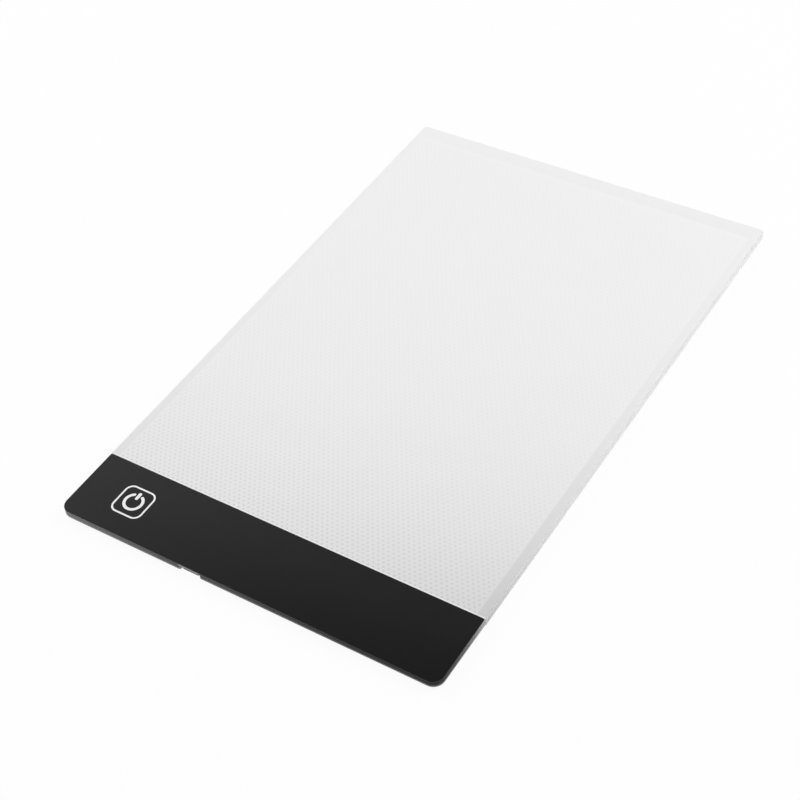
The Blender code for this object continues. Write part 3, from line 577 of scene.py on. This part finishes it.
def tray_finish(colours):
    """Black moulding with a spark-eroded texture, whose walls carry painted light: piped from the lit part,
    and from the table at their foot.
    """
    finish, tree, shader, place = new_finish("textured_black_moulding")
    pits = tree.nodes.new("ShaderNodeTexVoronoi")
    pits.inputs["Scale"].default_value = 1 / PIT_SIZE
    tree.links.new(place, pits.inputs["Vector"])
    fine = grain(tree, place, TRAY_GRAIN_SIZE, SOFT_DETAIL)
    cloud = grain(tree, place, TRAY_CLOUD_SIZE)
    plain = blend(tree, cloud, scaled(colours.tray, 1 - TRAY_SPREAD), scaled(colours.tray, 1 + TRAY_SPREAD))
    z = split(tree, place)[2]
    # Painted light: the foot of the tray's wall is paler, as if lit from the table.
    at_foot = ramp(tree, z, TRAY_LOW.z + WALL_START, TRAY_LOW.z + FOOT_REACH, FOOT_SHARE, 0.0)
    wall = blend(tree, at_foot, edge_colour(tree, place, colours), colours.painted_table_light)
    on_wall = ramp(tree, z, TRAY_LOW.z, TRAY_LOW.z + WALL_START)
    wire(tree, blend(tree, on_wall, plain, wall), shader.inputs["Base Color"])
    wire(tree, drifting(tree, fine, *TRAY_GLOSS), shader.inputs["Roughness"])
    shader.inputs["Specular IOR Level"].default_value = SATIN_SPECULAR
    emboss(tree, shader, calculate(tree, "ADD", pits.outputs["Distance"], fine), TRAY_GRAIN_DEPTH)
    return finish


def edge_tape_finish(colours):
    """Matte white tape round the lit part, with painted shade near the strip."""
    finish, tree, shader, place = new_finish("white_edge_tape")
    fine = grain(tree, place, TAPE_GRAIN_SIZE)
    # Painted shade: the tape darkens towards the strip.
    tape = lit_wall_colour(tree, place, colours, *TAPE_SHADE)
    wire(tree, darkened(tree, drifting(tree, fine, 0.0, TAPE_DRIFT), tape), shader.inputs["Base Color"])
    wire(tree, drifting(tree, fine, *TAPE_GLOSS), shader.inputs["Roughness"])
    emboss(tree, shader, fine, TAPE_GRAIN_DEPTH)
    return finish


class PAD_OT_dress_panel(bpy.types.Operator):
    """Gives the drawing panel its frosted face, plain margins and edge"""

    bl_idname = "tracing_pad.dress_panel"
    bl_label = "Dress the drawing panel"

    def execute(self, context):
        settings = context.scene.tracing_pad
        dress(acrylic_finish(settings.sizes, settings.finishes), "drawing_panel")
        return {"FINISHED"}


class PAD_OT_dress_strip(bpy.types.Operator):
    """Gives the control strip its satin film and its textured tray"""

    bl_idname = "tracing_pad.dress_strip"
    bl_label = "Dress the control strip"

    def execute(self, context):
        colours = context.scene.tracing_pad.finishes
        dress(film_finish(colours), "control_overlay")
        dress(tray_finish(colours), "strip_base")
        return {"FINISHED"}


# Printed key

CURVE_STEPS = 10
RING_STEPS = 60
TIP_SHARE = 0.05
QUARTERS = 4
RIGHT_ANGLE = math.pi / 2
INK_COAT_SIZE = 0.0009
INK_COATS = (0.95, 1.03)
INK_GRAIN_SIZE = 0.00008
INK_GLOSS = (0.48, 0.60)
INK_GRAIN_DEPTH = 0.000003


def arc_points(centre, radius, start, end, steps):
    """Points along part of a circle, with the direction of travel at each."""
    points = []
    for step in range(steps + 1):
        turn = start + (end - start) * step / steps
        out = Vector((math.cos(turn), math.sin(turn)))
        along = Vector((-out.y, out.x)) * (1 if end > start else -1)
        points.append((centre + out * radius, along))
    return points


def stroke_sides(points, half_width, rounded):
    """Left and right rims of an inked line along the points. Its two ends are half rounds if asked."""
    sections = [(at, along, half_width) for at, along in points]
    if rounded:
        first, last = points[0], points[-1]
        for step in range(1, CURVE_STEPS + 1):
            turn = step / CURVE_STEPS * RIGHT_ANGLE
            reach = half_width * math.sin(turn)
            half = half_width * max(math.cos(turn), TIP_SHARE)
            sections.insert(0, (first[0] - first[1] * reach, first[1], half))
            sections.append((last[0] + last[1] * reach, last[1], half))
    left = [at + Vector((-along.y, along.x)) * half for at, along, half in sections]
    right = [at - Vector((-along.y, along.x)) * half for at, along, half in sections]
    return left, right


def inked_line(name, left, right, low, high, closed):
    """A flat printed line between its two rims, as a closed mesh of the ink's thickness."""
    form = bmesh.new()
    rings = []
    for rim_left, rim_right in zip(left, right):
        rings.append([
            form.verts.new((*rim_left, high)), form.verts.new((*rim_right, high)),
            form.verts.new((*rim_right, low)), form.verts.new((*rim_left, low)),
        ])
    count = len(rings)
    for index in range(count if closed else count - 1):
        here, after = rings[index], rings[(index + 1) % count]
        for side in range(len(here)):
            beyond = (side + 1) % len(here)
            form.faces.new((here[side], here[beyond], after[beyond], after[side]))
    if not closed:
        form.faces.new(rings[0][::-1])
        form.faces.new(rings[-1])
    bmesh.ops.recalc_face_normals(form, faces=form.faces)
    mesh = bpy.data.meshes.new(name)
    form.to_mesh(mesh)
    form.free()
    return mesh


def ink_finish(colours):
    """White screen print with a slightly uneven coat."""
    finish, tree, shader, place = new_finish("white_screen_print")
    coat = grain(tree, place, INK_COAT_SIZE, SOFT_DETAIL)
    thick, thin = (scaled(colours.ink, factor) for factor in INK_COATS)
    wire(tree, blend(tree, coat, thick, thin), shader.inputs["Base Color"])
    fine = grain(tree, place, INK_GRAIN_SIZE)
    wire(tree, drifting(tree, fine, *INK_GLOSS), shader.inputs["Roughness"])
    emboss(tree, shader, fine, INK_GRAIN_DEPTH)
    return finish


def add_piece(name, mesh, finish):
    """Puts a finished mesh on the pad as one piece."""
    piece = bpy.data.objects.new(name, mesh)
    bpy.context.scene.collection.objects.link(piece)
    if not mesh.materials:
        mesh.materials.append(finish)
    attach(piece, BODY)
    return piece


class PAD_OT_print_key(bpy.types.Operator):
    """Prints the touch key: a rounded square border, and a power mark of a ring and a bar"""

    bl_idname = "tracing_pad.print_key"
    bl_label = "Print the touch key"

    def execute(self, context):
        sizes = context.scene.tracing_pad.sizes
        ink = ink_finish(context.scene.tracing_pad.finishes)
        low, high = FILM_HIGH.z, FILM_HIGH.z + sizes.ink_thickness
        centre = KEY_CENTRE.xy

        half_line = sizes.key_line / 2
        middle_radius = sizes.key_radius - half_line
        straight = sizes.key_side / 2 - half_line - middle_radius
        border = []
        for quarter in range(QUARTERS):
            start = quarter * RIGHT_ANGLE
            corner = centre + Matrix.Rotation(start, 2) @ Vector((straight, straight))
            border += arc_points(corner, middle_radius, start, start + RIGHT_ANGLE, CURVE_STEPS)

        half_stroke = sizes.power_stroke / 2
        ring_radius = sizes.power_diameter / 2 - half_stroke
        first = RIGHT_ANGLE + sizes.power_opening
        last = RIGHT_ANGLE - sizes.power_opening + 2 * math.pi
        ring = arc_points(centre, ring_radius, first, last, RING_STEPS)

        ahead = Vector((0, 1))
        half_bar = sizes.bar_width / 2
        ends = (sizes.bar_start + half_bar, sizes.bar_end - half_bar)
        bar = [(centre + ahead * end, ahead) for end in ends]

        for name, points, half_width, closed in (
            ("key_border_print", border, half_line, True),
            ("power_ring_print", ring, half_stroke, False),
            ("power_bar_print", bar, half_bar, False),
        ):
            left, right = stroke_sides(points, half_width, not closed)
            add_piece(name, inked_line(name, left, right, low, high, closed), ink)
        return {"FINISHED"}


# Dot lattice

LATTICE_INPUTS = (
    ("Width", "NodeSocketFloat"), ("Length", "NodeSocketFloat"), ("Front", "NodeSocketFloat"),
    ("Level", "NodeSocketFloat"), ("Pitch", "NodeSocketFloat"), ("Row Step", "NodeSocketFloat"),
    ("Diameter", "NodeSocketFloat"), ("Height", "NodeSocketFloat"), ("Sides", "NodeSocketInt"),
    ("Ink", "NodeSocketMaterial"),
)


def lattice_tree():
    """A geometry tree that sets shallow round dots in rows, every second row half a pitch along."""
    tree = bpy.data.node_groups.new("dot_lattice", "GeometryNodeTree")
    for label, kind in LATTICE_INPUTS:
        tree.interface.new_socket(name=label, in_out="INPUT", socket_type=kind)
    tree.interface.new_socket(name="Geometry", in_out="OUTPUT", socket_type="NodeSocketGeometry")
    given = tree.nodes.new("NodeGroupInput").outputs
    result = tree.nodes.new("NodeGroupOutput")

    def whole(value):
        node = tree.nodes.new("FunctionNodeFloatToInt")
        node.rounding_mode = "FLOOR"
        tree.links.new(value, node.inputs[0])
        return node.outputs[0]

    gaps = whole(calculate(tree, "DIVIDE", given["Width"], given["Pitch"]))
    rows = whole(calculate(tree, "DIVIDE", given["Length"], given["Row Step"]))
    double_step = calculate(tree, "MULTIPLY", given["Row Step"], 2.0)
    join = tree.nodes.new("GeometryNodeJoinGeometry")
    for shift in range(2):
        # The first set has a dot more in each row than the second, so both are centred.
        columns = calculate(tree, "SUBTRACT", calculate(tree, "ADD", gaps, 1.0), float(shift))
        lines = whole(calculate(tree, "DIVIDE", calculate(tree, "ADD", rows, 1.0 - shift), 2.0))
        spread = calculate(tree, "SUBTRACT", lines, 1.0)
        depth = calculate(tree, "MULTIPLY", spread, double_step)
        width = calculate(tree, "MULTIPLY", calculate(tree, "SUBTRACT", columns, 1.0), given["Pitch"])
        grid = tree.nodes.new("GeometryNodeMeshGrid")
        wire(tree, width, grid.inputs["Size X"])
        wire(tree, depth, grid.inputs["Size Y"])
        wire(tree, columns, grid.inputs["Vertices X"])
        wire(tree, lines, grid.inputs["Vertices Y"])
        middle = calculate(tree, "ADD", given["Front"], calculate(tree, "DIVIDE", depth, 2.0))
        middle = calculate(tree, "ADD", middle, calculate(tree, "MULTIPLY", given["Row Step"], float(shift)))
        at = tree.nodes.new("ShaderNodeCombineXYZ")
        wire(tree, middle, at.inputs["Y"])
        wire(tree, given["Level"], at.inputs["Z"])
        moved = tree.nodes.new("GeometryNodeTransform")
        tree.links.new(grid.outputs["Mesh"], moved.inputs["Geometry"])
        tree.links.new(at.outputs["Vector"], moved.inputs["Translation"])
        tree.links.new(moved.outputs["Geometry"], join.inputs["Geometry"])

    dot = tree.nodes.new("GeometryNodeMeshCone")
    dot.fill_type = "NGON"
    wire(tree, given["Sides"], dot.inputs["Vertices"])
    dot.inputs["Radius Top"].default_value = 0.0
    wire(tree, calculate(tree, "DIVIDE", given["Diameter"], 2.0), dot.inputs["Radius Bottom"])
    wire(tree, given["Height"], dot.inputs["Depth"])
    spread_out = tree.nodes.new("GeometryNodeInstanceOnPoints")
    tree.links.new(join.outputs["Geometry"], spread_out.inputs["Points"])
    tree.links.new(dot.outputs["Mesh"], spread_out.inputs["Instance"])
    real = tree.nodes.new("GeometryNodeRealizeInstances")
    tree.links.new(spread_out.outputs["Instances"], real.inputs["Geometry"])
    inked = tree.nodes.new("GeometryNodeSetMaterial")
    tree.links.new(real.outputs["Geometry"], inked.inputs["Geometry"])
    wire(tree, given["Ink"], inked.inputs["Material"])
    tree.links.new(inked.outputs["Geometry"], result.inputs["Geometry"])
    return tree


def grown_mesh(name, tree, values):
    """The plain mesh that a geometry tree makes from the given inputs."""
    carrier = bpy.data.objects.new(name + "_carrier", bpy.data.meshes.new(name + "_carrier"))
    bpy.context.scene.collection.objects.link(carrier)
    step = carrier.modifiers.new("grow", "NODES")
    step.node_group = tree
    for item in tree.interface.items_tree:
        if item.in_out == "INPUT":
            step[item.identifier] = values[item.name]
    graph = bpy.context.evaluated_depsgraph_get()
    mesh = bpy.data.meshes.new_from_object(carrier.evaluated_get(graph), depsgraph=graph)
    mesh.name = name
    carrier.modifiers.remove(step)
    bpy.data.objects.remove(carrier)
    return mesh


def dot_finish(colours):
    """Light guide dots on the face's colour, painted shade included: darker than the face round them near the
    strip and fainter towards the far end.
    """
    finish, tree, shader, place = new_finish("light_guide_dots")
    near = faded(tree, from_strip(tree, split(tree, place)[1]), DOT_FADE_REACH)
    share = calculate(tree, "MULTIPLY", near, colours.dot_contrast)
    share = calculate(tree, "ADD", share, colours.far_dot_contrast)
    # The dots take the face's painted shade.
    wire(tree, darkened(tree, share, face_colour(tree, place, colours)), shader.inputs["Base Color"])
    frost = grain(tree, place, FROST_SIZE)
    wire(tree, drifting(tree, frost, *DOT_GLOSS), shader.inputs["Roughness"])
    shader.inputs["Specular IOR Level"].default_value = SATIN_SPECULAR
    shader.inputs["IOR"].default_value = ACRYLIC_INDEX
    return finish


class PAD_OT_print_dots(bpy.types.Operator):
    """Sets the light guide's dots in staggered rows over the lit face"""

    bl_idname = "tracing_pad.print_dots"
    bl_label = "Print the dots"

    def execute(self, context):
        sizes = context.scene.tracing_pad.sizes
        finish = dot_finish(context.scene.tracing_pad.finishes)
        front = LIT_FRONT + sizes.front_margin
        width = PANEL_WIDTH - 2 * sizes.side_margin - sizes.dot_diameter
        values = {
            "Width": width, "Length": PANEL_HIGH.y - sizes.far_margin - front, "Front": front,
            "Level": PANEL_HIGH.z - sizes.dot_sink, "Pitch": sizes.dot_pitch, "Row Step": sizes.dot_row_step,
            "Diameter": sizes.dot_diameter, "Height": sizes.dot_height, "Sides": sizes.dot_sides,
            "Ink": finish,
        }
        mesh = grown_mesh("guide_dots", lattice_tree(), values)
        if not mesh.polygons:
            raise RuntimeError("the dot lattice came out empty")
        add_piece("guide_dots", mesh, finish)
        return {"FINISHED"}


# Sheets, tapes and inner pieces

# Each row is a plain finish, and how the names of its pieces start.
BACK_ROWS = (
    (Grained("reflector_film", (0.88, 0.88, 0.88), 0.34, 0.0004, 0.000003, spread=0.01), "reflector_film"),
    (Grained("white_tape", (0.82, 0.82, 0.82), 0.55, 0.0003, 0.000006, spread=0.02), "led_mask_tape"),
    (Grained("double_sided_tape", (0.72, 0.73, 0.72), 0.50, 0.0005, 0.000006, spread=0.03), "panel_adhesive"),
    (Grained("light_guide_acrylic", (0.83, 0.84, 0.84), 0.12, 0.004, 0.000002, spread=0.01), "light_guide"),
)
BRUSHED = (1, 0.08, 1)
INLET_ROWS = (
    (Grained("plated_steel", (0.62, 0.62, 0.63), 0.26, 0.00008, 0.000002, 1.0, 0.05, BRUSHED), "usb_shell"),
    (Grained("inlet_insulator", (0.50, 0.50, 0.48), 0.50, 0.0001, 0.000004), "usb_insulator"),
    (Grained("gold_plating", (0.86, 0.63, 0.26), 0.22, 0.00006, 0.000001, 1.0, 0.04), "usb_contact_"),
)
CIRCUIT_ROWS = (
    (
        Grained("epoxy_moulding", (0.025, 0.025, 0.026), 0.55, 0.00012, 0.000006, spread=0.12),
        "touch_chip", "driver_transistor",
    ),
    (Grained("copper_foil", (0.72, 0.38, 0.22), 0.32, 0.0006, 0.00001, 1.0, 0.06), "touch_electrode"),
    (Grained("conductive_foam", (0.09, 0.09, 0.10), 0.90, 0.0003, 0.00008, spread=0.2), "touch_foam"),
    (Grained("lead_red_insulation", (0.52, 0.025, 0.025), 0.42, 0.0002, 0.000004), "lead_red"),
    (Grained("lead_black_insulation", (0.018, 0.018, 0.018), 0.42, 0.0002, 0.000004), "lead_black"),
)
GREEN_MASK = ((0.012, 0.10, 0.045), (0.035, 0.20, 0.085))
WHITE_MASK = ((0.76, 0.76, 0.74), (0.84, 0.84, 0.82))
CERAMICS = (("resistor_", (0.03, 0.03, 0.035)), ("capacitor_", (0.42, 0.30, 0.20)))
CERAMIC_SPREAD = 0.1
CERAMIC_GLOSS = (0.34, 0.46)
TIN = ((0.62, 0.62, 0.61), (0.74, 0.74, 0.73))
END_CAP_LENGTH = 0.0003
LED_PHOSPHOR = ((0.78, 0.58, 0.08), (0.88, 0.70, 0.14))
LED_BODY = ((0.80, 0.80, 0.78), (0.86, 0.86, 0.84))
LED_GRAIN_SIZE = 0.00006
LED_GLOSS = (0.36, 0.46)
LED_RIM = 0.0001
FACING_FAR = 0.9
PART_GRAIN_SIZE = 0.0001
PART_GRAIN_DEPTH = 0.000003
TRACK_SCALE = 260.0
TRACK_WAVER = 3.0
TRACK_BAND = (0.72, 0.78)
TRACK_DEPTH = 0.00002
BOARD_GLOSS = (0.28, 0.38)


def dress_rows(rows):
    """Gives the pieces of each row its plain finish."""
    for given, *starts in rows:
        finish = grained_finish(given)
        for start in starts:
            dress(finish, *names_that_start(start))


def led_finish():
    """White package with a yellow phosphor in its window."""
    finish, tree, shader, place = new_finish("led_package")
    geometry = tree.nodes.new("ShaderNodeNewGeometry")
    facing = calculate(tree, "GREATER_THAN", split(tree, geometry.outputs["Normal"])[1], FACING_FAR)
    sunk = calculate(tree, "LESS_THAN", split(tree, place)[1], LED_HIGH.y - LED_RIM)
    window = calculate(tree, "MULTIPLY", facing, sunk)
    fine = grain(tree, place, LED_GRAIN_SIZE)
    body, phosphor = blend(tree, fine, *LED_BODY), blend(tree, fine, *LED_PHOSPHOR)
    wire(tree, blend(tree, window, body, phosphor), shader.inputs["Base Color"])
    wire(tree, drifting(tree, fine, *LED_GLOSS), shader.inputs["Roughness"])
    emboss(tree, shader, fine, PART_GRAIN_DEPTH)
    return finish


def board_finish(name, mask_colour, track_colour):
    """Solder mask over copper tracks, whose paths show as paler bands."""
    finish, tree, shader, place = new_finish(name)
    bands = tree.nodes.new("ShaderNodeTexWave")
    bands.bands_direction = "Y"
    bands.inputs["Scale"].default_value = TRACK_SCALE
    bands.inputs["Distortion"].default_value = TRACK_WAVER
    bands.inputs["Detail"].default_value = 0.0
    tree.links.new(place, bands.inputs["Vector"])
    tracks = ramp(tree, bands.outputs["Fac"], *TRACK_BAND)
    wire(tree, blend(tree, tracks, mask_colour, track_colour), shader.inputs["Base Color"])
    fine = grain(tree, place, PART_GRAIN_SIZE)
    wire(tree, drifting(tree, fine, *BOARD_GLOSS), shader.inputs["Roughness"])
    emboss(tree, shader, tracks, TRACK_DEPTH)
    return finish


def two_ended_finish(name, colour):
    """Chip part along X: a ceramic body between two tinned ends."""
    finish, tree, shader, place = new_finish(name + "_ceramic")
    low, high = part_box(name)
    from_middle = calculate(tree, "SUBTRACT", split(tree, place)[0], (low.x + high.x) / 2)
    from_middle = calculate(tree, "ABSOLUTE", from_middle)
    tinned = calculate(tree, "GREATER_THAN", from_middle, (high.x - low.x) / 2 - END_CAP_LENGTH)
    fine = grain(tree, place, PART_GRAIN_SIZE)
    body = blend(tree, fine, scaled(colour, 1 - CERAMIC_SPREAD), scaled(colour, 1 + CERAMIC_SPREAD))
    wire(tree, blend(tree, tinned, body, blend(tree, fine, *TIN)), shader.inputs["Base Color"])
    wire(tree, tinned, shader.inputs["Metallic"])
    wire(tree, drifting(tree, fine, *CERAMIC_GLOSS), shader.inputs["Roughness"])
    emboss(tree, shader, fine, PART_GRAIN_DEPTH)
    return finish


class PAD_OT_dress_back(bpy.types.Operator):
    """Gives the back cover, films, tapes, light guide and feet their finishes"""

    bl_idname = "tracing_pad.dress_back"
    bl_label = "Dress the back, tapes and feet"

    def execute(self, context):
        colours = context.scene.tracing_pad.finishes
        dress(edge_tape_finish(colours), "edge_tape")
        dress_rows(BACK_ROWS)
        dress_rows((
            (Grained("matte_white_sheet", colours.sheet, 0.52, 0.00025, 0.000006, spread=0.02), "back_cover"),
            (Grained("grey_rubber", colours.rubber, 0.80, 0.00018, 0.00002, spread=0.10), "foot_"),
        ))
        return {"FINISHED"}


class PAD_OT_dress_inlet(bpy.types.Operator):
    """Gives the micro-USB receptacle its plated steel, pale insulator and gold contacts"""

    bl_idname = "tracing_pad.dress_inlet"
    bl_label = "Dress the inlet"

    def execute(self, context):
        dress_rows(INLET_ROWS)
        return {"FINISHED"}


class PAD_OT_dress_electronics(bpy.types.Operator):
    """Gives the boards, LEDs, circuit, touch pad and wires their finishes"""

    bl_idname = "tracing_pad.dress_electronics"
    bl_label = "Dress the electronics"

    def execute(self, context):
        dress(board_finish("green_solder_mask", *GREEN_MASK), "control_board")
        dress(board_finish("white_solder_mask", *WHITE_MASK), "led_board")
        dress(led_finish(), *names_that_start("led_0"), *names_that_start("led_1"))
        dress_rows(CIRCUIT_ROWS)
        for kind, colour in CERAMICS:
            for name in names_that_start(kind):
                dress(two_ended_finish(name, colour), name)
        return {"FINISHED"}


# Studio

FLOOR_SIDE = 12.0
FLOOR_DROP = 0.00002
SOFTBOX_SIDE = 0.7
SOFTBOXES = (
    ("far_left_softbox", "far_left_power", (-0.75, 0.35, 0.55)),
    ("left_softbox", "left_power", (-0.9, -0.1, 0.6)),
    ("far_right_softbox", "far_right_power", (0.6, 0.6, 0.6)),
    ("front_right_softbox", "front_right_power", (0.6, -0.6, 0.5)),
    ("top_softbox", "top_power", (0.0, 0.0, 1.1)),
)
LOW_SKY = 0.03
HIGH_SKY = 0.18
CEILING_START = 0.70
CEILING_END = 0.86
CEILING_SHARE = 0.05
PAPER = ((0.92, 0.92, 0.92), (0.94, 0.94, 0.94))
PAPER_GRAIN_SIZE = 0.02
PAPER_ROUGHNESS = 0.9
PAPER_SPECULAR = 0.1
WHITE = (1.0, 1.0, 1.0, 1.0)


def seen_rays(tree):
    """The kinds of ray, and a share that is 1 for the camera's and for those that pass through a piece."""
    rays = tree.nodes.new("ShaderNodeLightPath").outputs
    return rays, calculate(tree, "MAXIMUM", rays["Is Camera Ray"], rays["Is Transmission Ray"])


def either(tree, share, first, second):
    """A surface, or a light, between two others."""
    node = tree.nodes.new("ShaderNodeMixShader")
    for socket, source in zip(node.inputs, (share, first, second)):
        tree.links.new(source, socket)
    return node.outputs[0]


def floor_finish(lift):
    """Pale floor that the camera and gloss see as white, apart from part of the pad's shadow."""
    finish, tree, shader, place = new_finish("pale_floor")
    paper = grain(tree, place, PAPER_GRAIN_SIZE)
    wire(tree, blend(tree, paper, *PAPER), shader.inputs["Base Color"])
    shader.inputs["Roughness"].default_value = PAPER_ROUGHNESS
    shader.inputs["Specular IOR Level"].default_value = PAPER_SPECULAR
    rays, seen = seen_rays(tree)
    seen = calculate(tree, "MAXIMUM", seen, rays["Is Glossy Ray"])
    white = tree.nodes.new("ShaderNodeEmission").outputs[0]
    lit = either(tree, calculate(tree, "MULTIPLY", seen, lift), shader.outputs[0], white)
    clear = tree.nodes.new("ShaderNodeBsdfTransparent").outputs[0]
    from_below = tree.nodes.new("ShaderNodeNewGeometry").outputs["Backfacing"]
    tree.links.new(either(tree, from_below, lit, clear), tree.nodes["Material Output"].inputs["Surface"])
    return finish


def set_world(ambient):
    """Dim studio walls that light the pad, seen as a white backdrop by the camera and by gloss low down."""
    world = bpy.data.worlds.new("studio")
    world.use_nodes = True
    tree = world.node_tree
    room = tree.nodes["Background"]
    backdrop = tree.nodes.new("ShaderNodeBackground")
    for background in (room, backdrop):
        background.inputs["Color"].default_value = WHITE
    rays, seen = seen_rays(tree)
    height = split(tree, tree.nodes.new("ShaderNodeTexCoord").outputs["Generated"])[2]
    low_down = ramp(tree, height, LOW_SKY, HIGH_SKY, 1.0, 0.0)
    mirrored = calculate(tree, "MULTIPLY", rays["Is Glossy Ray"], low_down)
    ceiling = ramp(tree, height, CEILING_START, CEILING_END, 0.0, 1 - CEILING_SHARE)
    dimmed = calculate(tree, "MULTIPLY", rays["Is Glossy Ray"], ceiling)
    dimmed = calculate(tree, "SUBTRACT", 1.0, dimmed)
    wire(tree, calculate(tree, "MULTIPLY", dimmed, ambient), room.inputs["Strength"])
    white_share = calculate(tree, "MAXIMUM", seen, mirrored)
    light = either(tree, white_share, room.outputs[0], backdrop.outputs[0])
    tree.links.new(light, tree.nodes["World Output"].inputs["Surface"])
    bpy.context.scene.world = world


def aimed(place, target):
    """Turn that points an object's own -Z axis from its place to the target."""
    return (Vector(target) - Vector(place)).to_track_quat("-Z", "Y")


def lay_floor(scene, lift):
    """A square of pale floor just under the feet."""
    half = FLOOR_SIDE / 2
    mesh = bpy.data.meshes.new("floor")
    corners = [(-half, -half), (half, -half), (half, half), (-half, half)]
    mesh.from_pydata([(x, y, -FLOOR_DROP) for x, y in corners], [], [(0, 1, 2, 3)])
    floor = bpy.data.objects.new("floor", mesh)
    scene.collection.objects.link(floor)
    mesh.materials.append(floor_finish(lift))


def hang_softboxes(scene, studio):
    """Square lamps that face the pad."""
    for name, power, place in SOFTBOXES:
        lamp = bpy.data.lights.new(name, "AREA")
        lamp.shape = "SQUARE"
        lamp.size = SOFTBOX_SIDE
        lamp.energy = getattr(studio, power)
        holder = bpy.data.objects.new(name, lamp)
        scene.collection.objects.link(holder)
        holder.location = place
        holder.rotation_mode = "QUATERNION"
        holder.rotation_quaternion = aimed(place, (0, 0, 0))


def set_camera(scene, studio):
    """The camera of the photo."""
    level = math.cos(studio.elevation)
    back = Vector((
        math.sin(studio.azimuth) * level, -math.cos(studio.azimuth) * level, math.sin(studio.elevation)
    ))
    lens = bpy.data.cameras.new("camera")
    lens.lens = studio.lens
    camera = bpy.data.objects.new("camera", lens)
    scene.collection.objects.link(camera)
    aim = Vector(studio.aim)
    camera.location = aim + back * studio.distance
    camera.rotation_mode = "QUATERNION"
    turned = aimed(camera.location, aim).to_matrix() @ Matrix.Rotation(studio.roll, 3, "Z")
    camera.rotation_quaternion = turned.to_quaternion()
    scene.camera = camera


class PAD_OT_set_studio(bpy.types.Operator):
    """Sets the floor, the softboxes, the white backdrop and the camera"""

    bl_idname = "tracing_pad.set_studio"
    bl_label = "Set the studio"

    def execute(self, context):
        scene = context.scene
        studio = scene.tracing_pad.studio
        lay_floor(scene, studio.floor_lift)
        hang_softboxes(scene, studio)
        set_world(studio.ambient)
        scene.view_settings.view_transform = "Standard"
        set_camera(scene, studio)
        return {"FINISHED"}


OPERATORS = (
    PAD_OT_dress_panel, PAD_OT_dress_strip, PAD_OT_print_key, PAD_OT_print_dots, PAD_OT_dress_back,
    PAD_OT_dress_inlet, PAD_OT_dress_electronics, PAD_OT_set_studio,
)


class PAD_PT_looks(bpy.types.Panel):
    """Lists the steps that dress the pad"""

    bl_label = "Tracing Pad"
    bl_idname = "PAD_PT_looks"
    bl_space_type = "VIEW_3D"
    bl_region_type = "UI"
    bl_category = "Tracing Pad"

    def draw(self, context):
        for operator in OPERATORS:
            self.layout.operator(operator.bl_idname)
        settings = context.scene.tracing_pad
        for group in (settings.sizes, settings.finishes, settings.studio):
            box = self.layout.box()
            for name in group.bl_rna.properties.keys():
                if name not in ("rna_type", "name"):
                    box.prop(group, name)


CLASSES = (PadSizes, PadFinishes, PadStudio, PadSettings, *OPERATORS, PAD_PT_looks)


def register():
    for kind in CLASSES:
        bpy.utils.register_class(kind)
    bpy.types.Scene.tracing_pad = PointerProperty(type=PadSettings)


def unregister():
    del bpy.types.Scene.tracing_pad
    for kind in reversed(CLASSES):
        bpy.utils.unregister_class(kind)


def main():
    register()
    for operator in OPERATORS:
        group, name = operator.bl_idname.split(".")
        getattr(getattr(bpy.ops, group), name)()


if __name__ == "__main__":
    main()
